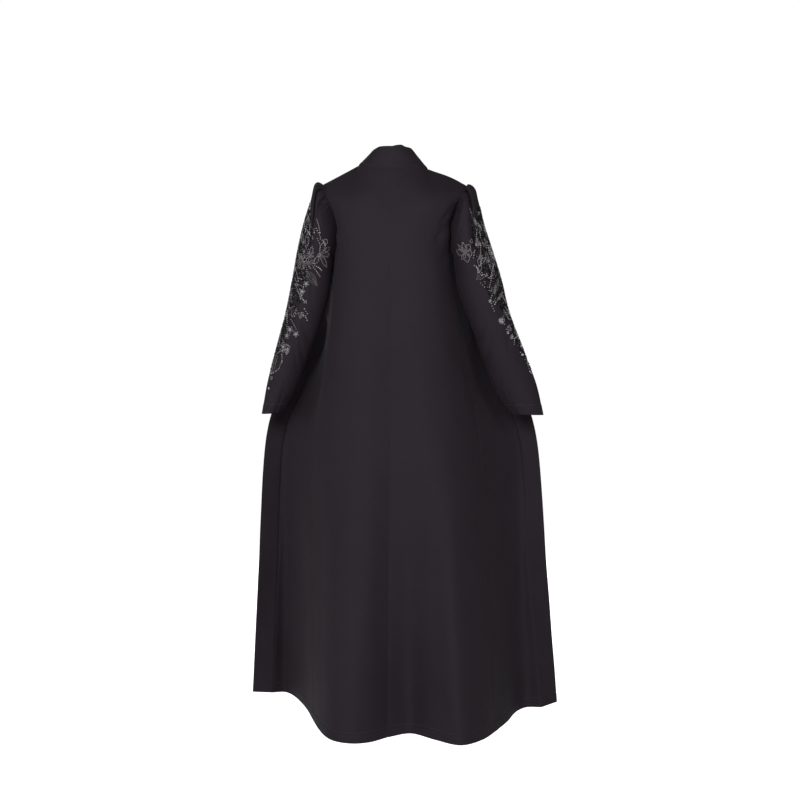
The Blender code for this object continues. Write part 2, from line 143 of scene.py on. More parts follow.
def smooth_weights(count, places):
    """Weights that read a smooth curve through a number of points at places counted in intervals."""
    weights = np.zeros((len(places), count))
    for row, place in enumerate(places):
        i = min(int(place), count - 2)
        f = place - i
        weights[row, i] += 2 * f**3 - 3 * f**2 + 1
        weights[row, i + 1] += 3 * f**2 - 2 * f**3
        into, out_of = f**3 - 2 * f**2 + f, f**3 - f**2
        before, reach = (i - 1, 2) if i > 0 else (i, 1)
        weights[row, i + 1] += into / reach
        weights[row, before] -= into / reach
        after, reach = (i + 2, 2) if i + 2 < count else (i + 1, 1)
        weights[row, after] += out_of / reach
        weights[row, i] -= out_of / reach
    return weights


def places_down(lines_between):
    """Each level's place and even steps between them, counted in levels."""
    places = [0.0]
    for level, lines in enumerate(lines_between):
        places += [level + (i + 1) / lines for i in range(lines)]
    return places


last_level = len(LINES_DOWN)
above_turn = [last_level + HEM_SHARE * (i + 1) / LINES_ABOVE_TURN for i in range(LINES_ABOVE_TURN)]
in_turn = [last_level + HEM_SHARE + (1 - HEM_SHARE) * (i + 1) / LINES_IN_TURN for i in range(LINES_IN_TURN)]
PLACES = np.array(places_down(LINES_DOWN) + above_turn + in_turn)
DOWN = smooth_weights(len(LEVELS) + 1, PLACES)
UPPER = PLACES <= UNDERARM
SIDE_DOWN = np.zeros_like(DOWN)
SIDE_DOWN[UPPER, : UNDERARM + 1] = smooth_weights(UNDERARM + 1, PLACES[UPPER])
SIDE_DOWN[~UPPER, UNDERARM:] = smooth_weights(len(LEVELS) + 1 - UNDERARM, PLACES[~UPPER] - UNDERARM)


def level_points(name, plan, side):
    """A level's eleven named points; side is 1 on the wearer's left and -1 on the right."""
    at = LEVELS.index(name)
    heights = list(np.linspace(CENTRE_HEIGHTS[at], SIDE_HEIGHTS[at], SIDE + 1))
    heights += list(np.linspace(SIDE_HEIGHTS[at], SEAM_HEIGHTS[at], SEAM - SIDE + 1))[1:]
    heights.append(FREE_HEIGHTS[at])
    return np.array([(side * x, y, z) for (x, y), z in zip(plan[name], heights)])


def neck_arc(middle, end, shares):
    """A quarter turn from the centre back to the side of the neck."""
    turn = shares * pi / 2
    middle, end = np.array(middle), np.array(end)
    return np.stack([
        end[0] * np.sin(turn),
        end[1] + (middle[1] - end[1]) * np.cos(turn),
        middle[2] + (end[2] - middle[2]) * np.sin(turn) ** 2,
    ], axis=1)


def shoulder_line(shoulder, shares):
    """The shoulder seam, from the neck to the tip."""
    neck, tip = np.array(shoulder["neck"]), np.array(shoulder["tip"])
    line = neck + (tip - neck) * shares[:, None]
    line[:, 2] += shoulder["bow"] * np.sin(pi * shares**1.3)
    return line


def run_down(top, levels, side_share):
    """A panel's surface: the levels' lines run down, with the underarm's corner in the side line."""
    stack = np.stack([top] + levels)
    surface = np.einsum("rl,lcd->rcd", DOWN, stack)
    side_at = int(np.argmin(abs(SHARES - side_share)))
    corner = (SIDE_DOWN - DOWN) @ stack[:, side_at]
    near = np.clip(1 - abs(SHARES - side_share) / CORNER_SPREAD, 0, 1) ** 2
    return surface + corner[:, None, :] * near[None, :, None]


def body_side(side, shoulder, side_plan):
    """The back, front and band surfaces of one side of the coat."""
    plan = {**BOTH_SIDES_PLAN, **side_plan}
    mirror = np.array([side, 1, 1])
    points = [level_points(name, plan, side) for name in LEVELS]
    read_back = smooth_weights(SIDE + 1, SHARES * SIDE)
    read_front = smooth_weights(SEAM - SIDE + 1, SHARES * (SEAM - SIDE))
    backs, fronts = [], []
    for name, row in zip(LEVELS, points):
        front = row[SIDE : SEAM + 1].copy()
        front[0, 1] = ARMHOLE_FRONT.get(name, front[0, 1])
        backs.append(read_back @ row[: SIDE + 1])
        fronts.append(read_front @ front)
    top = np.zeros((len(SHARES), 3))
    top[ON_NECK] = neck_arc(NECK_CENTRE, shoulder["neck"], SHARES[ON_NECK] * 2)
    top[~ON_NECK] = shoulder_line(shoulder, SHARES[~ON_NECK] * 2 - 1)
    back = run_down(top * mirror, backs, 1.0)
    front = run_down(shoulder_line(shoulder, 1 - SHARES) * mirror, fronts, 0.0)
    round_neck = np.linspace(1, 0, NECK_ROWS)[1:]
    neck_seam = neck_arc(NECK_CENTRE, shoulder["neck"], round_neck) * mirror
    seam_line = np.concatenate([front[::-1, -1], neck_seam])
    collar = neck_arc(COLLAR_CENTRE, shoulder["collar"], round_neck)
    collar[:, 2] += np.interp(round_neck, COLLAR_SHARES, shoulder["rise"])
    free = np.stack([np.array(shoulder["collar"]) * mirror] + [row[-1] for row in points])
    free_line = np.concatenate([(DOWN @ free)[::-1], collar * mirror])
    band = seam_line[:, None] + (free_line - seam_line)[:, None] * BAND_SHARES[None, :, None]
    return {"back": back, "front": front, "band": band}


def length_up(surface):
    """Distance from the lowest line, up along each column."""
    steps = np.linalg.norm(np.diff(surface, axis=0), axis=2)
    total = np.cumsum(steps[::-1], axis=0)[::-1]
    return np.concatenate([total, np.zeros((1, surface.shape[1]))])


def length_across(surface):
    """Distance from the first column, across each line."""
    steps = np.linalg.norm(np.diff(surface, axis=1), axis=2)
    return np.concatenate([np.zeros((surface.shape[0], 1)), np.cumsum(steps, axis=1)], axis=1)


def facing(surface, sign):
    """Unit normals of a surface, on the outer side."""
    by_line = np.gradient(surface, axis=0)
    by_column = np.gradient(surface, axis=1)
    normal = np.cross(-by_line, by_column) * sign
    return normal / np.linalg.norm(normal, axis=2, keepdims=True)


body = {
    "left": body_side(1, LEFT_SHOULDER, LEFT_PLAN),
    "right": body_side(-1, RIGHT_SHOULDER, RIGHT_PLAN),
}
outside = {}
for hand, side in HANDS.items():
    outside[hand] = {
        "back": facing(body[hand]["back"], side),
        "front": facing(body[hand]["front"], side),
        "band": facing(body[hand]["band"], -side),
    }


def share_edge(first, second):
    """Gives two pieces one normal along the edge that they share."""
    both = first + second
    both /= np.linalg.norm(both, axis=1, keepdims=True)
    first[:] = both
    second[:] = both


def read_at(places, known_places, known):
    """Points or normals known at some places along a line, read at others."""
    return np.stack([np.interp(places, known_places, known[:, i]) for i in range(3)], axis=-1)


def share_seam(first, first_shares, second, second_shares):
    """Gives two pieces one normal along a seam that they divide at different places."""
    order = np.argsort(second_shares)
    both = first + read_at(first_shares, second_shares[order], second[order])
    both /= np.linalg.norm(both, axis=1, keepdims=True)
    first[:] = both
    order = np.argsort(first_shares)
    second[:] = read_at(second_shares, first_shares[order], both[order])


below = PLACES >= UNDERARM
for hand in HANDS:
    normals = outside[hand]
    merged = normals["back"][below, -1].copy(), normals["front"][below, 0].copy()
    share_edge(*merged)
    normals["back"][below, -1], normals["front"][below, 0] = merged
    share_edge(normals["front"][::-1, -1], normals["band"][: len(PLACES), 0])
share_edge(outside["left"]["back"][:, 0], outside["right"]["back"][:, 0])
share_edge(outside["left"]["band"][-1], outside["right"]["band"][-1])
neck_columns = int(np.sum(ON_NECK))
for hand in HANDS:
    normals = outside[hand]
    on_shoulder = normals["back"][0, neck_columns:], SHARES[neck_columns:] * 2 - 1
    share_seam(*on_shoulder, normals["front"][0], 1 - SHARES)
    on_neck = normals["back"][0, :neck_columns], SHARES[:neck_columns] * 2
    share_seam(*on_neck, normals["band"][-NECK_ROWS:, 0], np.linspace(1, 0, NECK_ROWS))

# Soft creases that the cloth has taken, each a trough along a line seen square from the back or from the
# front: x and z of both ends, half width, depth, which face (1 is the back)
CREASES = (
    (0.163, -0.130, 0.118, -0.185, 0.007, 0.0040, 1),
    (0.158, -0.165, 0.128, -0.250, 0.008, 0.0050, 1),
    (-0.166, -0.085, -0.122, -0.150, 0.006, 0.0090, 1),
    (-0.163, -0.115, -0.112, -0.190, 0.007, 0.0110, 1),
    (-0.158, -0.155, -0.124, -0.262, 0.008, 0.0080, 1),
    (-0.060, -0.075, 0.050, -0.082, 0.016, 0.0012, 1),
    (0.030, -0.090, 0.110, -0.150, 0.018, 0.0014, 1),
    (-0.020, -0.100, -0.100, -0.175, 0.018, 0.0014, 1),
    (0.165, -0.120, 0.105, -0.175, 0.007, 0.0030, -1),
    (-0.166, -0.110, -0.110, -0.170, 0.007, 0.0032, -1),
)


def trough(u, v, u1, v1, u2, v2, width, deep):
    """Depth of a soft trough from (u1, v1) to (u2, v2), tapered away towards both ends."""
    length = sqrt((u2 - u1) ** 2 + (v2 - v1) ** 2)
    share = ((u - u1) * (u2 - u1) + (v - v1) * (v2 - v1)) / length**2
    off = abs((u - u1) * (v2 - v1) - (v - v1) * (u2 - u1)) / length
    taper = np.clip(share, 0, 1) * np.clip(1 - share, 0, 1) * 4
    return deep * np.exp(-((off / width) ** 2)) * taper**0.6


# The cloth's faint waves: how high each is, and for both sines that make it up, how fast they run with x, y
# and z and where they start. The yoke above CALM_ABOVE has none.
WAVES = (
    (0.0009, (41, 0, 9, 0.7), (0, 23, 17, 1.9)),
    (0.0006, (87, 31, -13, 0.0), (0, 0, 29, 0.4)),
)
CALM_ABOVE, WAVY_BELOW = -0.06, -0.16


def unevenness(surface, normals):
    """How far the creases and the cloth's faint waves push each point in."""
    x, y, z = surface[..., 0], surface[..., 1], surface[..., 2]
    depth = np.zeros(x.shape)
    for *line, face in CREASES:
        seen = np.clip(normals[..., 1] * face, 0, 1)
        depth += trough(x, z, *line) * seen
    below_yoke = np.clip((CALM_ABOVE - z) / (CALM_ABOVE - WAVY_BELOW), 0, 1)
    for height, *sines in WAVES:
        first, second = [np.sin(a * x + b * y + c * z + start) for a, b, c, start in sines]
        depth += height * first * second * below_yoke
    return depth


for hand in HANDS:
    for kind in ("back", "front", "band"):
        shift = unevenness(body[hand][kind], outside[hand][kind])
        body[hand][kind] = body[hand][kind] - outside[hand][kind] * shift[..., None]

# The armhole seam lies in a deep valley that the full sleeve throws up beside it: its depth behind and in
# front, how far it spreads from the seam into the body and into the sleeve, and the heights it runs between
VALLEY_BEHIND, VALLEY_BEFORE = 0.0230, 0.0140
BODY_SPREAD, SLEEVE_SPREAD = 0.0030, 0.0100
VALLEY_TOP, VALLEY_FULL = -0.065, -0.125
VALLEY_END, VALLEY_FADE = -0.213, 0.024


def eased(share):
    """A share from 0 to 1 that starts and ends gently."""
    return share**2 * (3 - 2 * share)


def seam_valley(points, heights, distance, face, spread):
    """Moves the cloth beside the armhole seam forward where it is behind, and back where it is in front."""
    down = np.clip((VALLEY_TOP - heights) / (VALLEY_TOP - VALLEY_FULL), 0, 1)
    ends = np.clip((heights - VALLEY_END) / VALLEY_FADE, 0, 1)
    deep = VALLEY_BEHIND if face > 0 else VALLEY_BEFORE
    moved = points.copy()
    moved[..., 1] -= face * deep * np.exp(-distance / spread) * eased(down) * eased(ends)
    return moved


# Below each armhole the front springs out behind the sleeve. Each spring: its height, its depth from the
# coat's middle, how far out it goes and how far it spreads
SPRINGS = ((-0.232, -0.060, 0.022, 0.030), (-0.352, -0.085, 0.009, 0.032))
above_underarm = UPPER[:, None, None]
for hand, side in HANDS.items():
    back, front = body[hand]["back"], body[hand]["front"]
    across = length_across(back)
    sunk = seam_valley(back, back[:, -1:, 2], across[:, -1:] - across, 1, BODY_SPREAD)
    body[hand]["back"] = np.where(above_underarm, sunk, back)
    sunk = seam_valley(front, front[:, :1, 2], length_across(front), -1, BODY_SPREAD)
    front = np.where(above_underarm, sunk, front)
    for height, depth, out, spread in SPRINGS:
        off = ((front[..., 2] - height) ** 2 + (front[..., 1] - depth) ** 2) / spread**2
        front[..., 0] += side * out * np.exp(-off)
    body[hand]["front"] = front


# The crepe
# Matt black crepe of middle weight, with a fine pebbled grain, a faint warm unevenness in its black and a
# little sheen. One cloth is used for every piece.
CREPE_BLACK = (0.0150, 0.0108, 0.0150)
CREPE_BLOOM = (0.0190, 0.0142, 0.0190)
CREPE_PEBBLE = 1400.0
CREPE_BUMP = (0.35, 0.0003)
BODY_CLOUD, SLEEVE_CLOUD = 6.0, 9.0


def new_group(name, inputs, outputs):
    """A shader node group with named sockets: inputs as (name, value), outputs as (name, kind)."""
    group = bpy.data.node_groups.new(name, "ShaderNodeTree")
    for label, value in inputs:
        socket = group.interface.new_socket(label, in_out="INPUT", socket_type="NodeSocketFloat")
        socket.default_value = value
    for label, kind in outputs:
        group.interface.new_socket(label, in_out="OUTPUT", socket_type=kind)
    return group, group.nodes.new("NodeGroupInput"), group.nodes.new("NodeGroupOutput")


def crepe_grain():
    """Pebbled crepe: the height of its grain and a slow unevenness in its tone."""
    outputs = [("Height", "NodeSocketFloat"), ("Tone", "NodeSocketFloat")]
    group, given, out = new_group("Crepe grain", [("Grain", CREPE_PEBBLE), ("Cloud", 7.0)], outputs)
    place = group.nodes.new("ShaderNodeTexCoord")
    for size, detail, result in (("Grain", 2.0, "Height"), ("Cloud", 3.0, "Tone")):
        noise = group.nodes.new("ShaderNodeTexNoise")
        noise.inputs["Detail"].default_value = detail
        group.links.new(place.outputs["Object"], noise.inputs["Vector"])
        group.links.new(given.outputs[size], noise.inputs["Scale"])
        group.links.new(noise.outputs["Fac"], out.inputs[result])
    return group


CREPE_GRAIN = crepe_grain()


def grained_material(name, dark, pale, cloud, grain=CREPE_PEBBLE, bump=None):
    """A material that drifts between two tones, grained where bump gives a strength and a distance."""
    material = bpy.data.materials.new(name)
    material.use_nodes = True
    nodes, links = material.node_tree.nodes, material.node_tree.links
    shader = nodes["Principled BSDF"]
    surface = nodes.new("ShaderNodeGroup")
    surface.node_tree = CREPE_GRAIN
    surface.inputs["Grain"].default_value = grain
    surface.inputs["Cloud"].default_value = cloud
    tint = nodes.new("ShaderNodeMix")
    tint.data_type = "RGBA"
    tint.inputs["A"].default_value = (*dark, 1.0)
    tint.inputs["B"].default_value = (*pale, 1.0)
    links.new(surface.outputs["Tone"], tint.inputs["Factor"])
    links.new(tint.outputs["Result"], shader.inputs["Base Color"])
    if bump:
        raised = nodes.new("ShaderNodeBump")
        raised.inputs["Strength"].default_value = bump[0]
        raised.inputs["Distance"].default_value = bump[1]
        links.new(surface.outputs["Height"], raised.inputs["Height"])
        links.new(raised.outputs["Normal"], shader.inputs["Normal"])
    return material, shader


def crepe_material(name, cloud):
    """The coat's cloth: matt, with a little sheen."""
    material, shader = grained_material(name, CREPE_BLACK, CREPE_BLOOM, cloud, bump=CREPE_BUMP)
    shader.inputs["Roughness"].default_value = 0.78
    shader.inputs["Specular IOR Level"].default_value = 0.14
    shader.inputs["Sheen Weight"].default_value = 0.02
    shader.inputs["Sheen Roughness"].default_value = 0.5
    shader.inputs["Sheen Tint"].default_value = (0.80, 0.72, 0.82, 1.0)
    return material


BODY_CREPE = crepe_material("Body crepe", BODY_CLOUD)
SLEEVE_CREPE = crepe_material("Sleeve crepe", SLEEVE_CLOUD)
THICK = 0.0013
SHARP_TURN = radians(50)


def place_piece(name, points, faces, material):
    """A smooth-shaded mesh that is part of the coat."""
    mesh = bpy.data.meshes.new(name)
    mesh.from_pydata(points, [], faces)
    mesh.shade_smooth()
    mesh.materials.append(material)
    piece = bpy.data.objects.new(name, mesh)
    bpy.context.scene.collection.objects.link(piece)
    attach(piece, "root")
    return piece


def grid(surface, ring=False):
    """The numbers of a surface's points, line by line; a ring closes on its first column."""
    rows, columns = surface.shape[:2]
    at = np.arange(rows * columns).reshape(rows, columns)
    return np.concatenate([at, at[:, :1]], axis=1) if ring else at


def grid_faces(at):
    return np.stack([at[:-1, :-1], at[1:, :-1], at[1:, 1:], at[:-1, 1:]], axis=-1).reshape(-1, 4)


def turned_out(faces, surface, normals):
    """Faces made by grid_faces, turned to face the same way as the outer normals."""
    turn = np.cross(surface[1, 0] - surface[0, 0], surface[0, 1] - surface[0, 0])
    return faces[:, ::-1] if np.dot(turn, normals[0, 0]) < 0 else faces


def cloth_piece(name, surface, normals, thick, material, ring=False):
    """A closed thin shell: the surface, the same surface a thickness in, and the raw edges between."""
    outer = surface.reshape(-1, 3)
    inner = (surface - normals * thick).reshape(-1, 3)
    at = grid(surface, ring)
    low = at + len(outer)
    faces = [grid_faces(at), grid_faces(low)[:, ::-1]]
    faces.append(np.stack([at[0, 1:], low[0, 1:], low[0, :-1], at[0, :-1]], axis=-1))
    faces.append(np.stack([at[-1, :-1], low[-1, :-1], low[-1, 1:], at[-1, 1:]], axis=-1))
    if not ring:
        faces.append(np.stack([at[:-1, 0], low[:-1, 0], low[1:, 0], at[1:, 0]], axis=-1))
        faces.append(np.stack([at[1:, -1], low[1:, -1], low[:-1, -1], at[:-1, -1]], axis=-1))
    faces = turned_out(np.concatenate(faces), surface, normals)
    piece = place_piece(name, np.concatenate([outer, inner]).tolist(), faces.tolist(), material)
    piece.data.set_sharp_from_angle(angle=SHARP_TURN)
    return piece


# How far the turned-in double layer lifts the cloth, and the widths of its edge, its stitched groove and
# the rounding at the fold
TURN_STEP = 0.0006
TURN_EDGE, TURN_GROOVE, TURN_FOLD = 0.002, 0.0012, 0.0016


def turned_hem(surface, normals, from_edge, turn):
    """Lifts the cloth over its turned-in double layer, with a stitched groove where the turning ends."""
    over = np.clip((turn - from_edge) / TURN_EDGE, 0, 1)
    groove = np.exp(-(((from_edge - turn) / TURN_GROOVE) ** 2))
    lip = np.exp(-((from_edge / TURN_FOLD) ** 2))
    return surface + normals * (TURN_STEP * (over - 0.9 * groove - 0.5 * lip))[..., None]


# Half widths of a sewn seam's valley and of the allowances beside it, and how far off those lie
SEAM_VALLEY, TOP_VALLEY = 0.0013, 0.0016
ALLOWANCE_WIDTH, ALLOWANCE_OFF = 0.004, 0.006


def sewn_edges(surface, normals, first, last, top=0.0):
    """A valley along each seam, with the pressed-open allowances faintly raised beside it.

    The depths are those at the first column, at the last and along the top.
    """
    across = length_across(surface)
    depth = np.zeros(across.shape)
    for wanted, distance in ((first, across), (last, across[:, -1:] - across)):
        depth += wanted * np.exp(-((distance / SEAM_VALLEY) ** 2))
        depth -= wanted / 2 * np.exp(-(((distance - ALLOWANCE_OFF) / ALLOWANCE_WIDTH) ** 2))
    down = length_up(surface)
    depth += top * np.exp(-(((down[:1] - down) / TOP_VALLEY) ** 2))
    return surface - normals * depth[..., None]


# The back
# Two halves joined by a seam down the middle of the back, each flared in the cut so that the skirt falls
# in one deep lobe either side. The hem is turned up 25 mm and stitched.
CENTRE_SEAM, SIDE_SEAM, TOP_SEAM = 0.00025, 0.0006, 0.0010
sewn = {}


def sewn_panel(hand, kind, from_hem, seams, thick=THICK):
    """A panel of the body with its seams pressed and its hem turned, as a piece of cloth."""
    normals = outside[hand][kind]
    surface = sewn_edges(body[hand][kind], normals, *seams)
    surface = turned_hem(surface, normals, from_hem(surface), HEM_TURN)
    sewn[hand, kind] = surface
    return cloth_piece(hand + "_" + kind + "_cloth", surface, normals, thick, BODY_CREPE)


for hand in HANDS:
    piece = sewn_panel(hand, "back", length_up, (CENTRE_SEAM, SIDE_SEAM, TOP_SEAM))
    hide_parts(hand + "_back")


# The fronts
# One panel each side, from the shoulder seam and the armhole to the band, pulled out sideways by its
# edge. The same turned hem runs on round them.
for hand in HANDS:
    piece = sewn_panel(hand, "front", length_up, (SIDE_SEAM, SIDE_SEAM, TOP_SEAM))
    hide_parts(hand + "_front")


# The neck band
# A strip folded double along its free edge, joined at the centre back. It stands round the neck, turns
# down over the collar bones and edges both fronts to the hem.
BAND_THICK = 0.0022
BAND_SEAM = 0.0010


def length_from_first(surface):
    """Distance from the first line: a band's lines start at the hem and end at the centre back."""
    return length_up(surface[::-1])[::-1]


for hand in HANDS:
    piece = sewn_panel(hand, "band", length_from_first, (BAND_SEAM, 0.0), BAND_THICK)
    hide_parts(hand + "_band")


# The sleeves
# Long set-in sleeves, gathered into the head of the armhole so that they puff a little and fall in
# unequal folds, then narrow to a 28 mm turned cuff.
CUFF_TURN = 0.028
# Rings down the sleeve: x and z of the outer side, x and z of the inner side, half the depth, y of the middle
LEFT_RINGS = {
    "puff": (0.202, -0.030, 0.1590, -0.2155, 0.0550, 0.000),
    "head": (0.212, -0.045, 0.1605, -0.2175, 0.0590, 0.000),
    "cap": (0.221, -0.080, 0.1615, -0.2220, 0.0610, 0.000),
    "upper": (0.238, -0.136, 0.1620, -0.2320, 0.0610, 0.000),
    "biceps": (0.253, -0.200, 0.1630, -0.2500, 0.0590, 0.000),
    "arm": (0.268, -0.283, 0.1700, -0.3120, 0.0560, 0.002),
    "elbow": (0.285, -0.368, 0.1930, -0.3940, 0.0550, 0.004),
    "forearm": (0.313, -0.468, 0.2330, -0.4940, 0.0540, 0.000),
    "wrist": (0.336, -0.550, 0.2640, -0.5680, 0.0510, -0.010),
    "cuff": (0.352, -0.630, 0.3040, -0.6270, 0.0460, -0.022),
}
RIGHT_RINGS = {
    "puff": (0.191, -0.038, 0.1490, -0.2155, 0.0550, 0.000),
    "head": (0.206, -0.051, 0.1510, -0.2175, 0.0590, 0.000),
    "cap": (0.216, -0.080, 0.1525, -0.2220, 0.0610, 0.000),
    "upper": (0.230, -0.140, 0.1535, -0.2320, 0.0610, 0.000),
    "biceps": (0.249, -0.200, 0.1545, -0.2500, 0.0590, 0.000),
    "arm": (0.274, -0.280, 0.1640, -0.3120, 0.0540, 0.002),
    "elbow": (0.295, -0.366, 0.1950, -0.3940, 0.0470, 0.004),
    "forearm": (0.332, -0.464, 0.2300, -0.4940, 0.0430, 0.000),
    "wrist": (0.364, -0.550, 0.2600, -0.5680, 0.0390, -0.010),
    "cuff": (0.382, -0.630, 0.3000, -0.6270, 0.0360, -0.020),
}
LINES_BETWEEN_RINGS = (9, 7, 12, 13, 12, 14, 14, 16, 14, 22)
# Columns round each half: how far round the head reaches, the columns over it and those beneath it
HEAD_SHARE, HEAD_COLUMNS, UNDER_COLUMNS = 0.50, 66, 30
# Gathers: where each starts and ends round the head (0 is the top, 1 underneath, + the back), its reach,
# half width and depth
LEFT_GATHERS = (
    (-0.43, -0.46, 0.030, 0.0042, 0.0036), (-0.35, -0.37, 0.042, 0.0045, 0.0048),
    (-0.27, -0.30, 0.065, 0.0050, 0.0062), (-0.19, -0.22, 0.036, 0.0040, 0.0046),
    (-0.11, -0.14, 0.080, 0.0050, 0.0030), (-0.03, -0.04, 0.040, 0.0042, 0.0010),
    (0.05, 0.10, 0.048, 0.0042, 0.0016), (0.10, 0.43, 0.130, 0.0040, 0.0115),
    (0.15, 0.30, 0.040, 0.0030, 0.0040), (0.20, 0.42, 0.055, 0.0034, 0.0080),
    (0.26, 0.38, 0.036, 0.0028, 0.0050), (0.31, 0.44, 0.045, 0.0030, 0.0054),
    (0.37, 0.46, 0.030, 0.0028, 0.0042), (0.43, 0.50, 0.026, 0.0030, 0.0030),
)
RIGHT_GATHERS = (
    (-0.44, -0.47, 0.028, 0.0042, 0.0036), (-0.36, -0.39, 0.052, 0.0046, 0.0056),
    (-0.28, -0.30, 0.036, 0.0042, 0.0044), (-0.20, -0.25, 0.085, 0.0052, 0.0074),
    (-0.12, -0.14, 0.038, 0.0042, 0.0026), (-0.04, -0.05, 0.058, 0.0046, 0.0014),
    (0.04, 0.09, 0.040, 0.0040, 0.0018), (0.08, 0.30, 0.045, 0.0030, 0.0052),
    (0.155, 0.43, 0.150, 0.0044, 0.0130), (0.20, 0.25, 0.020, 0.0022, 0.0046),
    (0.24, 0.29, 0.020, 0.0022, 0.0044), (0.28, 0.33, 0.022, 0.0022, 0.0046),
    (0.325, 0.37, 0.020, 0.0024, 0.0038), (0.38, 0.43, 0.028, 0.0028, 0.0040),
    (0.44, 0.48, 0.022, 0.0030, 0.0028),
)
# Sleeve creases: start round the sleeve and down it, end round and down, half width, depth
LEFT_SLEEVE_CREASES = (
    (0.95, 0.26, 0.55, 0.31, 0.008, 0.0030), (0.98, 0.31, 0.60, 0.34, 0.009, 0.0034),
    (0.90, 0.36, 0.45, 0.37, 0.008, 0.0024), (-0.95, 0.28, -0.50, 0.32, 0.008, 0.0030),
    (-0.98, 0.33, -0.55, 0.35, 0.009, 0.0034), (0.62, 0.44, 0.80, 0.56, 0.010, 0.0022),
    (-0.60, 0.46, -0.80, 0.57, 0.010, 0.0022), (0.40, 0.12, 0.62, 0.24, 0.010, 0.0026),
)
RIGHT_SLEEVE_CREASES = (
    (0.96, 0.25, 0.58, 0.30, 0.008, 0.0030), (0.98, 0.31, 0.52, 0.35, 0.009, 0.0030),
    (0.25, 0.36, 0.45, 0.45, 0.009, 0.0018), (-0.96, 0.27, -0.52, 0.31, 0.008, 0.0030),
    (-0.98, 0.33, -0.55, 0.36, 0.009, 0.0034), (0.66, 0.45, 0.84, 0.57, 0.010, 0.0022),
    (-0.62, 0.45, -0.82, 0.56, 0.010, 0.0022), (0.78, 0.40, 0.88, 0.52, 0.012, 0.0030),
)
# The head's puff: how high it stands between the gathers, how far round it runs, and its middle and half
# width down the sleeve
HEAD_PUFF, PUFF_ROUND, PUFF_DOWN, PUFF_WIDTH = 0.0036, 0.52, 0.018, 0.022
# The gathers' pull on their depths, the stretch over which they start, how strongly their paths bend, how
# soon they fade and how much they widen; and the turns between which they change to a straight way in
GATHER_PULL, GATHER_START = 2.2, 0.004
GATHER_BEND, GATHER_FADE, GATHER_FLARE = 2, 1.6, 0.9
TOP_TURN, SIDE_TURN = 0.08, 0.20
# Half a sleeve's girth, as the creases' places are reckoned, and the underarm seam's depth and half width
CREASE_GIRTH = 0.15
UNDER_SEAM, UNDER_SEAM_WIDTH = 0.0005, 0.002


def lengths_along(line):
    """Distance from the start of a line to each of its points."""
    steps = np.linalg.norm(np.diff(line, axis=0), axis=1)
    return np.concatenate([[0], np.cumsum(steps)])


def read_along(line, shares):
    """Points at shares of the length of a line."""
    lengths = lengths_along(line)
    return read_at(shares * lengths[-1], lengths, line)


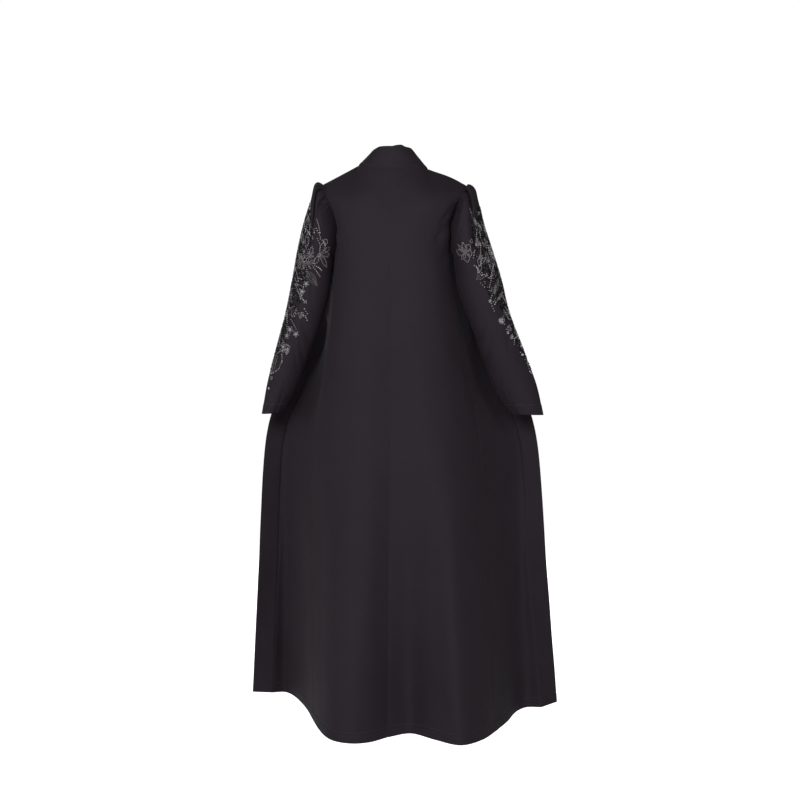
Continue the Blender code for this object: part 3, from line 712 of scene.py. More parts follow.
class Sleeve:
    """A sleeve's finished surface, worked out from its rings, gathers and creases."""

    def __init__(self, side, rings, gathers, creases, back, front):
        half = np.concatenate([
            np.linspace(0, HEAD_SHARE, HEAD_COLUMNS, endpoint=False),
            np.linspace(HEAD_SHARE, 1, UNDER_COLUMNS + 1),
        ])
        self.side = side
        self.turns = np.concatenate([half, -half[-2:0:-1]])
        behind, before = self.turns >= 0, self.turns < 0
        seam = np.zeros((len(self.turns), 3))
        seam[behind] = read_along(back[UPPER, -1], self.turns[behind])
        seam[before] = read_along(front[UPPER, 0], -self.turns[before])
        named = [seam]
        for outer_x, outer_z, inner_x, inner_z, depth, middle_y in rings.values():
            outer = np.array([side * outer_x, middle_y, outer_z])
            inner = np.array([side * inner_x, middle_y, inner_z])
            centre = (outer + inner) / 2
            angle = self.turns * pi
            ring = centre + (outer - centre) * np.cos(angle)[:, None]
            ring[:, 1] += depth * np.sin(angle)
            named.append(ring)
        down_rings = smooth_weights(len(named), places_down(LINES_BETWEEN_RINGS))
        self.surface = np.einsum("rl,lcd->rcd", down_rings, np.stack(named))
        self.measure()
        self.cut_down = self.down
        normals = self.normals()
        self.surface = self.surface - normals * self.crease_depth(creases)[..., None]
        self.surface = self.surface - self.inwards(normals) * self.gather_depth(gathers)[..., None]
        self.surface[:, behind] = self.seam_side(behind, 1)
        self.surface[:, before] = self.seam_side(before, -1)
        self.measure()
        normals = self.normals()
        self.surface = turned_hem(self.surface, normals, length_up(self.surface), CUFF_TURN)
        off = abs(1 - abs(self.turns))[None, :] * self.half_girth[:, None]
        sunk = UNDER_SEAM * np.exp(-((off / UNDER_SEAM_WIDTH) ** 2))
        self.surface = self.surface - normals * sunk[..., None]
        self.outside = self.normals()

    def seam_side(self, half, face):
        """The seam's own edge is in its valley already, so only the cloth beyond it follows it in."""
        heights = self.surface[:1, half, 2]
        sunk = seam_valley(self.surface[:, half], heights, self.down[:, half], face, SLEEVE_SPREAD)
        edge = self.down[:, half, None] < 1e-6
        return np.where(edge, self.surface[:, half], sunk)

    def measure(self):
        """Half the girth of each line, and the distance down from the armhole along each column."""
        closed = np.concatenate([self.surface, self.surface[:, :1]], axis=1)
        self.half_girth = np.linalg.norm(np.diff(closed, axis=1), axis=2).sum(axis=1) / 2
        steps = np.linalg.norm(np.diff(self.surface, axis=0), axis=2)
        self.down = np.concatenate([np.zeros((1, steps.shape[1])), np.cumsum(steps, axis=0)])

    def normals(self):
        """Unit normals on the outer side."""
        by_line = np.gradient(self.surface, axis=0)
        by_column = np.roll(self.surface, -1, axis=1) - np.roll(self.surface, 1, axis=1)
        normal = np.cross(by_line, by_column)
        middle = self.surface.mean(axis=1, keepdims=True)
        normal *= np.sign(np.einsum("rcd,rcd->rc", normal, self.surface - middle).mean())
        return normal / np.linalg.norm(normal, axis=2, keepdims=True)

    def inwards(self, normals):
        """The gathers' way in: along the normal at the top, straight in from behind or in front below it."""
        share = np.clip((abs(self.turns) - TOP_TURN) / (SIDE_TURN - TOP_TURN), 0, 1)[None, :, None]
        straight = np.zeros_like(normals)
        straight[..., 1] = np.sign(self.turns)
        return normals * (1 - share) + straight * share

    def gather_depth(self, gathers):
        """How far the gathers draw each point in, less the puff of the head between them."""
        turns, down = self.turns[None, :], self.down
        depth = np.zeros(down.shape)
        start_in = 1 - np.exp(-down / GATHER_START)
        for begin, end, reach, width, deep in gathers:
            along = np.clip(down / reach, 0, 1)
            bent = (1 - np.exp(-GATHER_BEND * along)) / (1 - np.exp(-GATHER_BEND))
            off = abs(turns - (begin + (end - begin) * bent)) * self.half_girth[:, None]
            fade = np.exp(-((down / reach) ** 2) * GATHER_FADE)
            spread = width * (1 + GATHER_FLARE * along)
            depth += GATHER_PULL * deep * start_in * fade * np.exp(-off / spread)
        puff = np.exp(-((abs(turns) / PUFF_ROUND) ** 4)) * np.exp(-(((down - PUFF_DOWN) / PUFF_WIDTH) ** 2))
        return depth - HEAD_PUFF * puff * start_in

    def crease_depth(self, creases):
        """How far the creases push each point in."""
        depth = np.zeros(self.down.shape)
        for turn1, down1, turn2, down2, width, deep in creases:
            ends = turn1 * CREASE_GIRTH, down1, turn2 * CREASE_GIRTH, down2
            depth += trough(self.turns[None, :] * CREASE_GIRTH, self.down, *ends, width, deep)
        return depth


sleeves = {}
for hand, side, rings, gathers, creases in (
    ("left", 1, LEFT_RINGS, LEFT_GATHERS, LEFT_SLEEVE_CREASES),
    ("right", -1, RIGHT_RINGS, RIGHT_GATHERS, RIGHT_SLEEVE_CREASES),
):
    sleeve = Sleeve(side, rings, gathers, creases, body[hand]["back"], body[hand]["front"])
    sleeves[hand] = sleeve
    name = hand + "_sleeve_cloth"
    piece = cloth_piece(name, sleeve.surface, sleeve.outside, THICK, SLEEVE_CREPE, ring=True)
    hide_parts(hand + "_sleeve")


# The hem and cuff stitching
# One row of machine stitches in black thread holds each turning, 25 mm above the hem and 28 mm above the
# cuffs. Each stitch is a short raised dash that sits in the groove it pulls.
STITCH_LENGTH, STITCH_GAP = 0.0024, 0.0010
STITCH_RADIUS = 0.00032


def height_line(surface, normals, height):
    """The points and normals at one height above a piece's lower edge, across all of its columns."""
    rising = length_up(surface)[::-1]
    columns = range(surface.shape[1])
    points = [read_at(height, rising[:, column], surface[::-1, column]) for column in columns]
    facings = [read_at(height, rising[:, column], normals[::-1, column]) for column in columns]
    return np.array(points), np.array(facings)


def stitch_row(points, facings):
    """Short strokes at even steps along a line, each two ends with their normals."""
    lengths = lengths_along(points)
    strokes = []
    for start in np.arange(STITCH_GAP, lengths[-1] - STITCH_LENGTH, STITCH_LENGTH + STITCH_GAP):
        ends = np.array([start, start + STITCH_LENGTH])
        normals = read_at(ends, lengths, facings)
        normals /= np.linalg.norm(normals, axis=1, keepdims=True)
        strokes.append(list(zip(read_at(ends, lengths, points), normals)))
    return strokes


def thread_piece(name, strokes, radius, material, lift=0.0):
    """Fine four-sided threads along strokes of (point, normal), lifted off the cloth, as one piece."""
    points, faces = [], []
    for stroke in strokes:
        line = np.array([point for point, normal in stroke])
        out = np.array([normal for point, normal in stroke])
        beside = np.cross(np.gradient(line, axis=0), out)
        beside /= np.maximum(np.linalg.norm(beside, axis=1, keepdims=True), 1e-9)
        line = line + out * lift
        # The thread's crest, its two sides, and its foot in the cloth
        ring = [line + out * 1.5 * radius, line + (out * 0.5 + beside) * radius,
                line - out * 0.4 * radius, line + (out * 0.5 - beside) * radius]
        base = len(points)
        points.extend(np.stack(ring, axis=1).reshape(-1, 3).tolist())
        for i in range(len(line) - 1):
            at = base + 4 * i
            faces += [(at + k, at + (k + 1) % 4, at + 4 + (k + 1) % 4, at + 4 + k) for k in range(4)]
        last = base + 4 * (len(line) - 1)
        faces += [(base + 3, base + 2, base + 1, base), (last, last + 1, last + 2, last + 3)]
    piece = place_piece(name, points, faces, material)
    return piece


def tones(colour, low, high):
    """A darker and a paler tone of a colour, at two shares of it."""
    return [[min(1.0, share * part) for part in colour] for share in (low, high)]


THREAD_CLOUD, THREAD_TWIST = 260.0, 900.0
THREAD_BUMP = (0.4, 0.0002)


def thread_material(name, colour, metal, roughness):
    """Twisted thread: a base colour that its strands' shadows break up, with a soft shine."""
    dark, pale = tones(colour, 0.55, 1.35)
    material, shader = grained_material(name, dark, pale, THREAD_CLOUD, THREAD_TWIST, THREAD_BUMP)
    shader.inputs["Metallic"].default_value = metal
    shader.inputs["Roughness"].default_value = roughness
    return material


BLACK_THREAD = thread_material("Black sewing thread", (0.050, 0.044, 0.050), 0.0, 0.45)
hem_strokes = []
cuff_stitches = {}
for hand in HANDS:
    for kind in ("back", "front"):
        hem_strokes += stitch_row(*height_line(sewn[hand, kind], outside[hand][kind], HEM_TURN))
    sleeve = sleeves[hand]
    points, facings = height_line(sleeve.surface, sleeve.outside, CUFF_TURN)
    strokes = stitch_row(np.concatenate([points, points[:1]]), np.concatenate([facings, facings[:1]]))
    name = hand + "_cuff_stitches"
    cuff_stitches[hand] = thread_piece(name, strokes, STITCH_RADIUS, BLACK_THREAD)
hem_stitches = thread_piece("hem_stitches", hem_strokes, STITCH_RADIUS, BLACK_THREAD)


# The embroidery
# Sprays of flowers and leaves down the top of each sleeve, in silver-grey thread and steel beads on a ground
# of black jet beads. They are sewn by hand on the flat sleeve and run on over its front half.
MM = 0.001
THREAD_RADIUS, STEEL_RADIUS, JET_RADIUS = 0.00026, 0.00105, 0.00110
# How far the threads lie off the cloth, and the beads' middles as shares of their radius
THREAD_LIFT, STEEL_LIFT, JET_LIFT = 0.0008, 1.0, 0.45
# How far a bead strays from its line, in millimetres, and how its size varies
BEAD_STRAY = 0.18
BEAD_SIZES = (0.82, 1.15)
BEAD_CLOUD = 210.0
SILVER_THREAD = thread_material("Silver-grey thread", (0.20, 0.187, 0.20), 0.25, 0.42)


def bead_material(name, colour, metal, roughness, gloss):
    """Small glass or metal beads, each a little different in tone from the next."""
    dark, pale = tones(colour, 0.45, 1.5)
    material, shader = grained_material(name, dark, pale, BEAD_CLOUD)
    shader.inputs["Metallic"].default_value = metal
    shader.inputs["Roughness"].default_value = roughness
    shader.inputs["Specular IOR Level"].default_value = gloss
    return material


STEEL_BEAD = bead_material("Steel bead", (0.80, 0.79, 0.81), 0.35, 0.25, 0.5)
JET_BEAD = bead_material("Jet bead", (0.002, 0.0018, 0.002), 0.0, 0.18, 0.14)


def bowed(length, bend=0.0, points=7):
    """A line of (forward, sideways) points that bows to one side by a share of its length."""
    shares = np.linspace(0, 1, points)
    return [(length * s, 4 * bend * length * s * (1 - s)) for s in shares]


def petal_edge(length, width, fullest=1.0, points=9):
    """The outline of a petal or leaf, from its base round its tip and back."""
    shares = np.linspace(0, 1, points)
    out = [(length * s, width / 2 * sin(pi * s**fullest)) for s in shares]
    return out + [(forward, -sideways) for forward, sideways in out[-2::-1]]


class Needle:
    """Draws motifs flat, in millimetres, and lays them on one half of a sleeve."""

    def __init__(self, sleeve, cloth, half, seed):
        self.sleeve = sleeve
        self.cloth = cloth
        self.half = half
        self.random = np.random.default_rng(seed)
        self.threads, self.steel, self.jet = [], [], []

    def frame(self, turn, down, angle=0.0):
        """A motif's place, as a function from its own (forward, sideways) to the cloth's point and normal."""
        sleeve = self.sleeve
        column = int(np.argmin(abs(sleeve.turns - turn * self.half)))
        start = read_at(down, sleeve.cut_down[:, column], sleeve.surface[:, column])
        start, normal = self.cloth.find_nearest(Vector(start))[:2]
        fall = Vector((0, 0, -1))
        fall = (fall - normal * fall.dot(normal)).normalized()
        across = fall.cross(normal) * -sleeve.side * self.half
        bearing = radians(angle)
        along = fall * cos(bearing) + across * sin(bearing)
        aside = across * cos(bearing) - fall * sin(bearing)

        def spot(forward, sideways):
            return self.cloth.find_nearest(start + (along * forward + aside * sideways) * MM)[:2]

        return spot

    def stitch(self, spot, path):
        self.threads.append([spot(*point) for point in path])

    def string(self, spot, path, size, step):
        """Beads at even steps along a path, each a little out of line and of its own size."""
        path = np.array(path)
        lengths = lengths_along(path)
        count = max(2, int(round(lengths[-1] / step)) + 1)
        for reach in np.linspace(0, lengths[-1], count):
            forward = np.interp(reach, lengths, path[:, 0]) + self.random.normal(0, BEAD_STRAY)
            sideways = np.interp(reach, lengths, path[:, 1]) + self.random.normal(0, BEAD_STRAY)
            self.steel.append((*spot(forward, sideways), size * self.random.uniform(*BEAD_SIZES)))

    def row(self, turn, down, angle, length, width):
        """A bowed row of beads; width is how far it bows."""
        self.string(self.frame(turn, down, angle), bowed(length, width / length), 1.05, 5.6)

    def line(self, turn, down, angle, length, width):
        """A laid thread with a few beads beside it and one at its end; width is how far it bows."""
        spot = self.frame(turn, down, angle)
        path = bowed(length, width / length)
        self.stitch(spot, path)
        self.string(spot, [(forward, sideways - 0.9) for forward, sideways in path], 0.8, 6.4)
        self.string(spot, [path[-1], (length + 1.5, path[-1][1])], 1.1, 1.5)

    def dots(self, turn, down, angle, length, width):
        """Single beads in an open row."""
        self.string(self.frame(turn, down, angle), bowed(length), 1.1, 5.8)

    def petal(self, turn, down, angle, length, width, fullest=1.25):
        """A lace petal: a corded edge, a net of thread inside it and small beads along it."""
        spot = self.frame(turn, down, angle)
        edge = petal_edge(length, width, fullest)
        self.stitch(spot, edge)
        self.stitch(spot, [(0.8 + forward * 0.94, sideways * 0.82) for forward, sideways in edge])
        shares = np.linspace(0.14, 0.92, max(4, int(length / 3.6)))
        net = [(length * s, width * 0.44 * sin(pi * s**fullest) * (-1) ** i) for i, s in enumerate(shares)]
        self.stitch(spot, net)
        self.string(spot, edge[2:-2], 0.7, 6.5)

    def lace(self, turn, down, angle, length, width):
        """A petal that is wide at its base and runs to a point."""
        self.petal(turn, down, angle, length, width, 0.72)

    def leaf(self, turn, down, angle, length, width):
        """A leaf with two outlines and a beaded vein."""
        spot = self.frame(turn, down, angle)
        self.stitch(spot, petal_edge(length, width, 0.85))
        inner = petal_edge(length * 0.8, width * 0.6, 0.85)
        self.stitch(spot, [(length * 0.08 + forward, sideways) for forward, sideways in inner])
        self.string(spot, [(length * 0.15, 0), (length * 0.85, 0)], 0.9, 5.6)

    def burst(self, turn, down, angle, length, width):
        """Looped rays out of a beaded centre, every other one a row of beads; width is the centre's."""
        rays = 20
        for ray in range(rays):
            spot = self.frame(turn, down, angle + 360 * ray / rays + self.random.uniform(-4, 4))
            reach = length * self.random.uniform(0.80, 1.0)
            if ray % 2:
                self.string(spot, [(width / 2, 0), (reach, 0)], 0.85, 5.2)
            else:
                loop = petal_edge(reach - width / 2, 4.2, 1.5)
                self.stitch(spot, [(width / 2 + forward, sideways) for forward, sideways in loop])
                self.stitch(spot, [(width / 2, 0), (reach, 0)])
                self.string(spot, [(reach * 0.75, 0), (reach * 0.9, 0)], 0.85, 4.0)
        self.ring(turn, down, 0, width / 2 - 1, 0)

    def fan(self, turn, down, angle, length, width):
        """Thread rays spread from one point, each with a bead at its end; width is the spread in degrees."""
        rays = max(3, int(round(abs(width) / 15)) + 1)
        for lean in np.linspace(-width / 2, width / 2, rays):
            spot = self.frame(turn, down, angle + lean)
            reach = length * self.random.uniform(0.82, 1.0)
            self.stitch(spot, bowed(reach, 0.03, 4))
            self.string(spot, [(reach - 2.5, 0), (reach + 1.5, 0)], 0.95, 4.0)

    def flower(self, turn, down, angle, length, width):
        """Five or six looped petals round a cluster of beads; length is its radius, width a petal's."""
        petals = 6 if length > 12 else 5
        for petal in range(petals):
            spot = self.frame(turn, down, angle + 360 * petal / petals)
            self.stitch(spot, [(length * 0.22 + f * 0.78, s) for f, s in petal_edge(length, width, 1.2, 6)])
            self.string(spot, [(length * 0.45, 0), (length * 0.8, 0)], 0.75, 4.0)
        self.sprig(turn, down, 0, 2.6, 0)

    def ring(self, turn, down, angle, length, width):
        """A circle of beads laid round a thread; length is its radius."""
        spot = self.frame(turn, down, angle)
        circle = [(length * cos(step * pi / 6), length * sin(step * pi / 6)) for step in range(13)]
        self.stitch(spot, circle)
        self.string(spot, circle[:-1], 0.8, 4.4)

    def sprig(self, turn, down, angle, length, width):
        """Five beads like a small blossom; length is how far they stand out."""
        spot = self.frame(turn, down, angle)
        self.steel.append((*spot(0, 0), 1.2))
        for corner in range(4):
            turned = pi / 4 + corner * pi / 2
            self.steel.append((*spot(length * cos(turned), length * sin(turned)), 1.05))

    def sew(self, motifs):
        for kind, *sizes in motifs:
            getattr(self, kind)(*sizes)

    def ground(self, edge):
        """Jet and small steel beads scattered out to an edge given as (down, turn, share kept)."""
        edge = np.array(edge)
        for _ in range(GROUND_BEADS):
            down = self.random.uniform(edge[0, 0], edge[-1, 0])
            turn = self.random.uniform(0, edge[:, 1].max())
            outer = np.interp(down, edge[:, 0], edge[:, 1])
            if turn > outer or self.random.random() > np.interp(down, edge[:, 0], edge[:, 2]):
                continue
            place = self.frame(turn, down)(0, 0)
            if self.random.random() < STEEL_SHARE:
                self.steel.append((*place, self.random.uniform(0.45, 0.8)))
            else:
                self.jet.append((*place, self.random.uniform(0.7, 1.15)))


# Each motif: kind, turn round the sleeve from its top, distance down it in metres, angle from straight
# down, length and width in millimetres
LEFT_MOTIFS = (
    ("dots", 0.10, 0.078, 20, 12, 0), ("dots", 0.19, 0.070, 10, 10, 0), ("row", 0.17, 0.086, 80, 9, 0),
    ("line", 0.24, 0.095, -43, 36, 2), ("line", 0.24, 0.096, -2, 38, 1), ("line", 0.24, 0.095, 22, 50, 1),
    ("line", 0.25, 0.095, 34, 50, 1), ("line", 0.43, 0.063, 20, 38, 1), ("dots", 0.47, 0.080, 30, 26, 0),
    ("row", 0.24, 0.127, 56, 29, 1), ("row", 0.12, 0.120, 40, 30, 1), ("row", 0.34, 0.118, 40, 22, 1),
    ("burst", 0.38, 0.182, 0, 31, 11), ("petal", 0.31, 0.160, -152, 44, 13),
    ("petal", 0.37, 0.158, 176, 44, 13), ("petal", 0.44, 0.163, 156, 32, 11),
    ("petal", 0.22, 0.160, -150, 34, 11), ("petal", 0.62, 0.106, 156, 38, 15),
    ("petal", 0.62, 0.105, 87, 42, 14), ("petal", 0.62, 0.107, 42, 42, 14),
    ("petal", 0.61, 0.107, -27, 27, 12), ("ring", 0.69, 0.051, 0, 7, 0), ("ring", 0.62, 0.107, 0, 4, 0),
    ("petal", 0.68, 0.075, 112, 24, 12), ("row", 0.58, 0.075, 40, 22, 2), ("row", 0.54, 0.090, 15, 30, 2),
    ("leaf", 0.43, 0.200, 41, 54, 19), ("row", 0.60, 0.141, 54, 17, 1), ("row", 0.57, 0.150, 60, 20, 1),
    ("dots", 0.55, 0.160, 40, 30, 0), ("dots", 0.31, 0.244, 75, 12, 0), ("line", 0.14, 0.240, 40, 52, 3),
    ("line", 0.22, 0.262, 41, 58, 2), ("line", 0.28, 0.268, 31, 41, 1), ("line", 0.24, 0.273, 78, 36, 2),
    ("flower", 0.47, 0.224, 0, 8, 5), ("flower", 0.43, 0.253, 20, 8, 5), ("sprig", 0.52, 0.259, 0, 4, 0),
    ("line", 0.35, 0.270, 39, 29, 1), ("line", 0.06, 0.312, 37, 49, 2), ("dots", 0.14, 0.300, 30, 30, 0),
    ("fan", 0.26, 0.332, 50, 31, 46), ("fan", 0.25, 0.332, -30, 29, 36), ("fan", 0.43, 0.309, 60, 17, 60),
    ("row", 0.538, 0.273, 30, 14, 0), ("row", 0.519, 0.292, 50, 12, 0), ("row", 0.577, 0.276, 20, 12, 0),
    ("row", 0.35, 0.345, 34, 30, 1), ("flower", 0.39, 0.364, 0, 10, 6), ("flower", 0.36, 0.385, 30, 9, 6),
    ("flower", 0.52, 0.345, 0, 8, 5), ("row", 0.30, 0.410, -9, 14, 0), ("flower", 0.36, 0.416, 0, 15, 8),
    ("row", 0.39, 0.405, 73, 15, 1), ("fan", 0.39, 0.418, 70, 15, 70), ("row", 0.25, 0.457, 109, 34, 1),
    ("row", 0.38, 0.433, 1, 20, 1), ("row", 0.43, 0.440, -32, 13, 0), ("row", 0.42, 0.461, -53, 15, 0),
    ("line", 0.23, 0.467, -14, 48, 1), ("line", 0.29, 0.458, -16, 43, 1), ("ring", 0.29, 0.516, 0, 4, 0),
    ("sprig", 0.29, 0.545, 0, 2, 0), ("leaf", 0.10, 0.150, 10, 44, 14), ("petal", 0.06, 0.215, -20, 34, 12),
    ("burst", 0.08, 0.255, 0, 16, 6), ("leaf", 0.05, 0.330, 12, 42, 12), ("flower", 0.12, 0.372, 0, 12, 7),
    ("row", 0.08, 0.395, 6, 40, 2), ("row", 0.16, 0.415, 10, 38, 2), ("dots", 0.20, 0.350, 15, 50, 0),
)
RIGHT_MOTIFS = (
    ("row", 0.34, 0.048, -22, 10, 0), ("dots", 0.17, 0.087, 0, 4, 0), ("dots", 0.32, 0.062, -10, 12, 0),
    ("leaf", 0.30, 0.077, -19, 24, 8), ("leaf", 0.31, 0.081, -54, 24, 8), ("leaf", 0.26, 0.099, -44, 23, 7),
    ("row", 0.24, 0.110, -32, 13, 0), ("row", 0.25, 0.124, 3, 16, 0), ("dots", 0.30, 0.110, 8, 40, 0),
    ("leaf", 0.22, 0.149, -67, 18, 10), ("leaf", 0.27, 0.148, -42, 22, 11), ("leaf", 0.20, 0.160, -20, 20, 9),
    ("ring", 0.45, 0.115, 0, 4, 0), ("ring", 0.35, 0.139, 0, 5, 0), ("dots", 0.31, 0.150, 8, 24, 0),
    ("fan", 0.34, 0.128, -12, 16, 60), ("petal", 0.39, 0.166, -2, 26, 11), ("petal", 0.30, 0.182, 37, 22, 10),
    ("petal", 0.24, 0.177, 3, 34, 12), ("petal", 0.27, 0.205, -38, 28, 11),
    ("petal", 0.28, 0.192, -75, 34, 12),
    ("petal", 0.39, 0.186, 20, 24, 10), ("sprig", 0.36, 0.172, 0, 4, 0), ("dots", 0.44, 0.140, 12, 20, 0),
    ("lace", 0.59, 0.112, 95, 38, 17), ("lace", 0.59, 0.112, 132, 33, 10), ("lace", 0.59, 0.112, 166, 29, 13),
    ("petal", 0.59, 0.112, -148, 26, 17), ("petal", 0.59, 0.112, -88, 19, 19),
    ("lace", 0.59, 0.112, -12, 26, 19), ("petal", 0.59, 0.112, 34, 20, 12), ("dots", 0.49, 0.169, -48, 14, 0),
    ("dots", 0.47, 0.176, -30, 14, 0), ("line", 0.22, 0.242, 61, 21, 0), ("fan", 0.52, 0.201, -150, 25, 40),
    ("row", 0.42, 0.210, -107, 12, 0), ("dots", 0.46, 0.212, -120, 22, 0), ("row", 0.47, 0.220, -47, 14, 0),
    ("leaf", 0.14, 0.264, 34, 57, 13), ("leaf", 0.10, 0.301, 51, 40, 11), ("leaf", 0.36, 0.263, -132, 26, 10),
    ("row", 0.29, 0.273, 29, 33, 2), ("line", 0.20, 0.299, 41, 34, 1), ("row", 0.39, 0.284, -68, 11, 0),
    ("dots", 0.40, 0.288, -22, 20, 0), ("sprig", 0.41, 0.280, 0, 3, 0), ("dots", 0.15, 0.310, -30, 21, 0),
    ("leaf", 0.22, 0.335, -30, 34, 9), ("leaf", 0.17, 0.335, -41, 39, 9), ("fan", 0.25, 0.345, 28, 16, 50),
    ("fan", 0.30, 0.347, 45, 10, 100), ("row", 0.30, 0.347, -25, 13, 0), ("row", 0.25, 0.377, 1, 14, 0),
    ("fan", 0.31, 0.372, -103, 17, 50), ("sprig", 0.29, 0.385, 0, 3, 0), ("fan", 0.21, 0.416, 123, 11, 60),
    ("row", 0.21, 0.416, 14, 15, 0), ("row", 0.21, 0.416, -120, 22, 1), ("row", 0.20, 0.456, -30, 8, 0),
    ("sprig", 0.16, 0.468, 0, 2, 0), ("row", 0.10, 0.491, 1, 20, 1), ("row", 0.15, 0.515, -59, 10, 0),
    ("burst", 0.10, 0.200, 0, 22, 8), ("leaf", 0.08, 0.120, 4, 40, 12), ("petal", 0.05, 0.245, 10, 34, 12),
    ("flower", 0.06, 0.360, 0, 12, 7), ("leaf", 0.08, 0.395, -8, 40, 10), ("flower", 0.08, 0.450, 0, 9, 5),
    ("dots", 0.18, 0.225, 30, 40, 0), ("dots", 0.26, 0.235, 20, 36, 0),
)
# The ground's edge: distance down the sleeve, how far round it reaches, and the share of beads kept there
LEFT_GROUND = (
    (0.072, 0.20, 0.8), (0.10, 0.40, 1.0), (0.20, 0.48, 0.9), (0.28, 0.44, 0.7), (0.36, 0.40, 0.6),
    (0.44, 0.36, 0.4), (0.52, 0.26, 0.15),
)
RIGHT_GROUND = (
    (0.075, 0.34, 0.8), (0.12, 0.46, 1.0), (0.20, 0.46, 0.9), (0.27, 0.40, 0.8), (0.33, 0.26, 0.6),
    (0.42, 0.20, 0.4), (0.52, 0.14, 0.2),
)
GROUND_BEADS = 4800
STEEL_SHARE = 0.08


def ball_shape(sides=6, bands=4):
    """A ball of unit radius: its points, and its faces as numbers of them."""
    points = [(0, 0, 1)]
    for band in range(1, bands):
        lean = pi * band / bands
        for corner in range(sides):
            turn = 2 * pi * corner / sides
            points.append((sin(lean) * cos(turn), sin(lean) * sin(turn), cos(lean)))
    points.append((0, 0, -1))
    faces = [(0, 1 + k, 1 + (k + 1) % sides) for k in range(sides)]
    for band in range(bands - 2):
        top, low = 1 + band * sides, 1 + (band + 1) * sides
        faces += [(top + k, low + k, low + (k + 1) % sides, top + (k + 1) % sides) for k in range(sides)]
    low, last = 1 + (bands - 2) * sides, len(points) - 1
    faces += [(last, low + (k + 1) % sides, low + k) for k in range(sides)]
    return np.array(points), faces


def bead_piece(name, beads, radius, material, lift):
    """Small smooth balls joined into one piece; lift is how far out each one sits."""
    ball, shape = ball_shape()
    points, faces = [], []
    for place, normal, size in beads:
        centre = np.array(place + normal * radius * size * lift)
        base = len(points)
        points.extend((centre + ball * radius * size).tolist())
        faces += [tuple(base + corner for corner in face) for face in shape]
    piece = place_piece(name, points, faces, material)
    return piece


SEEDS = {"left": 11, "right": 23}
PATTERNS = {"left": (LEFT_MOTIFS, LEFT_GROUND), "right": (RIGHT_MOTIFS, RIGHT_GROUND)}
embroidery = {}
for hand, (motifs, edge) in PATTERNS.items():
    sleeve = sleeves[hand]
    quads = turned_out(grid_faces(grid(sleeve.surface, ring=True)), sleeve.surface, sleeve.outside)
    cloth = BVHTree.FromPolygons(sleeve.surface.reshape(-1, 3).tolist(), quads.tolist())
    threads, steel, jet = [], [], []
    for half in (1, -1):
        needle = Needle(sleeve, cloth, half, SEEDS[hand] + half)
        needle.sew(motifs)
        needle.ground(edge)
        threads += needle.threads
        steel += needle.steel
        jet += needle.jet
    name = hand + "_thread_embroidery"
    embroidery[hand] = [
        thread_piece(name, threads, THREAD_RADIUS, SILVER_THREAD, THREAD_LIFT),
        bead_piece(hand + "_steel_beads", steel, STEEL_RADIUS, STEEL_BEAD, STEEL_LIFT),
        bead_piece(hand + "_jet_beads", jet, JET_RADIUS, JET_BEAD, JET_LIFT),
    ]


# The cloth as it was cut
# Width and length of each piece of crepe in metres, with its flat area, as it shows all round: the turnings
# and the band's inner half are not in these.
CUTS = {
    "left_back_cloth": ((0.371, 1.478), 0.394),
    "right_back_cloth": ((0.404, 1.468), 0.399),
    "left_front_cloth": ((0.334, 1.502), 0.268),
    "right_front_cloth": ((0.274, 1.500), 0.249),
    "left_band_cloth": ((0.059, 1.699), 0.092),
    "right_band_cloth": ((0.067, 1.692), 0.092),
    "left_sleeve_cloth": ((0.520, 0.645), 0.184),
    "right_sleeve_cloth": ((0.520, 0.643), 0.185),
}
sewn_on = {"left_back_cloth": [hem_stitches]}
for hand in HANDS:
    sewn_on[hand + "_sleeve_cloth"] = embroidery[hand] + [cuff_stitches[hand]]
for name, (flat, area) in CUTS.items():
    on_it = sewn_on.get(name, [])
    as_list(on_it)


# The studio
# A pale floor that the coat hangs clear of and a pale backdrop, both seen as white. The largest soft box is
# beside the camera, behind the coat. Weaker ones stand to both sides of it, and one lights the fronts.
FLOOR_HEIGHT, FLOOR_REACH = -1.549, 30.0
FLOOR_GLOW = 0.92
AMBIENT, BACKDROP = 0.11, 1.02
WHITE = (1.0, 1.0, 1.0, 1.0)
MIDDLE = (0.0, 0.0, -0.30)

scene = bpy.context.scene
scene.view_settings.view_transform = "Standard"

# The floor looks as white as the backdrop, but gives the coat only the light that falls on it
white_floor = bpy.data.materials.new("White floor")
white_floor.use_nodes = True
nodes, links = white_floor.node_tree.nodes, white_floor.node_tree.links
shader = nodes["Principled BSDF"]
shader.inputs["Base Color"].default_value = (0.90, 0.90, 0.90, 1.0)
shader.inputs["Roughness"].default_value = 0.7
shader.inputs["Emission Strength"].default_value = FLOOR_GLOW
ray = nodes.new("ShaderNodeLightPath")
links.new(ray.outputs["Is Camera Ray"], shader.inputs["Emission Color"])

floor_mesh = bpy.data.meshes.new("studio_floor")
corners = [(FLOOR_REACH * x, FLOOR_REACH * y, FLOOR_HEIGHT) for x, y in ((-1, -1), (1, -1), (1, 1), (-1, 1))]
floor_mesh.from_pydata(corners, [], [(0, 1, 2, 3)])
floor_mesh.materials.append(white_floor)
floor = bpy.data.objects.new("studio_floor", floor_mesh)
scene.collection.objects.link(floor)


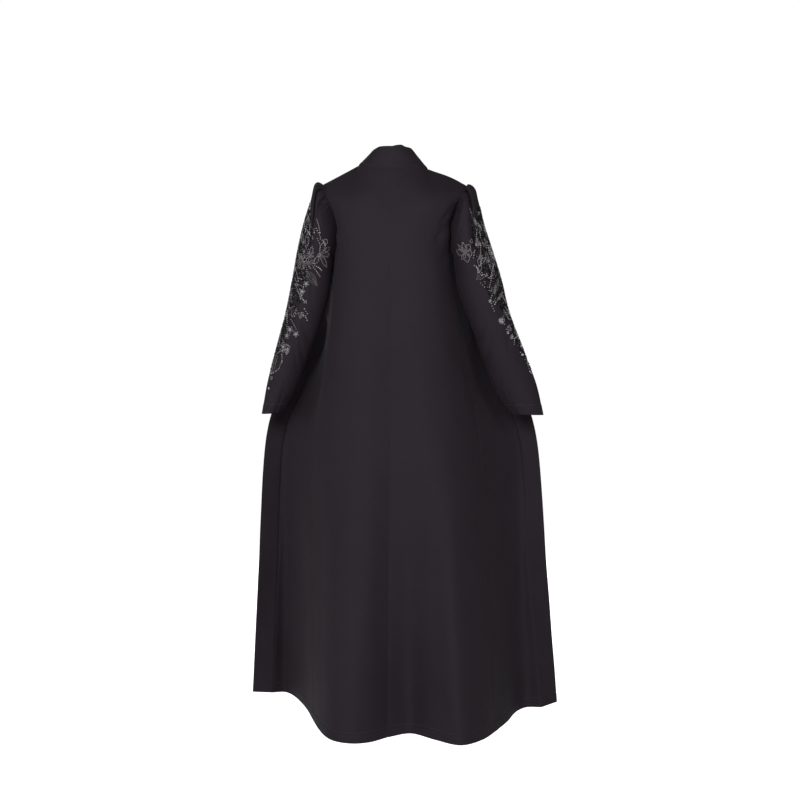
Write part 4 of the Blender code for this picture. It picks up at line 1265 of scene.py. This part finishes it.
def soft_box(name, place, width, height, power):
    """A soft light turned towards the coat."""
    light = bpy.data.lights.new(name, "AREA")
    light.shape = "RECTANGLE"
    light.size = width
    light.size_y = height
    light.energy = power
    lamp = bpy.data.objects.new(name, light)
    lamp.location = place
    lamp.rotation_euler = (Vector(MIDDLE) - Vector(place)).to_track_quat("-Z", "Y").to_euler()
    scene.collection.objects.link(lamp)


soft_box("key_light", (0.5, 3.8, 0.8), 1.6, 1.4, 116)
soft_box("fill_light", (-2.6, 2.8, 0.3), 1.4, 1.8, 28)
soft_box("left_edge_light", (3.4, 1.4, 0.2), 1.0, 1.8, 22)
soft_box("front_light", (0.6, -4.0, 1.0), 2.4, 2.4, 110)

# The backdrop is seen white, and lights the coat only faintly
world = bpy.data.worlds.new("studio")
scene.world = world
world.use_nodes = True
nodes, links = world.node_tree.nodes, world.node_tree.links
ray = nodes.new("ShaderNodeLightPath")
strength = nodes.new("ShaderNodeMapRange")
strength.inputs["To Min"].default_value = AMBIENT
strength.inputs["To Max"].default_value = BACKDROP
links.new(ray.outputs["Is Camera Ray"], strength.inputs["Value"])
links.new(strength.outputs["Result"], nodes["Background"].inputs["Strength"])
nodes["Background"].inputs["Color"].default_value = WHITE

# The photograph is square, and 800 pixels wide; the coat stands a little off its middle
CAMERA_AWAY, CAMERA_HEIGHT, CAMERA_YAW = 4.0, -0.45, radians(6)
LENS, SENSOR = 69.6, 36.0
PICTURE, OFF_RIGHT, OFF_DOWN = 800, 5, -55
camera_data = bpy.data.cameras.new("photo_view")
camera_data.lens = LENS
camera_data.sensor_width = SENSOR
camera_data.shift_x = OFF_RIGHT / PICTURE
camera_data.shift_y = OFF_DOWN / PICTURE
camera = bpy.data.objects.new("photo_view", camera_data)
camera.location = (-CAMERA_AWAY * sin(CAMERA_YAW), CAMERA_AWAY * cos(CAMERA_YAW), CAMERA_HEIGHT)
camera.rotation_euler = (pi / 2, 0, pi + CAMERA_YAW)
scene.collection.objects.link(camera)
scene.camera = camera
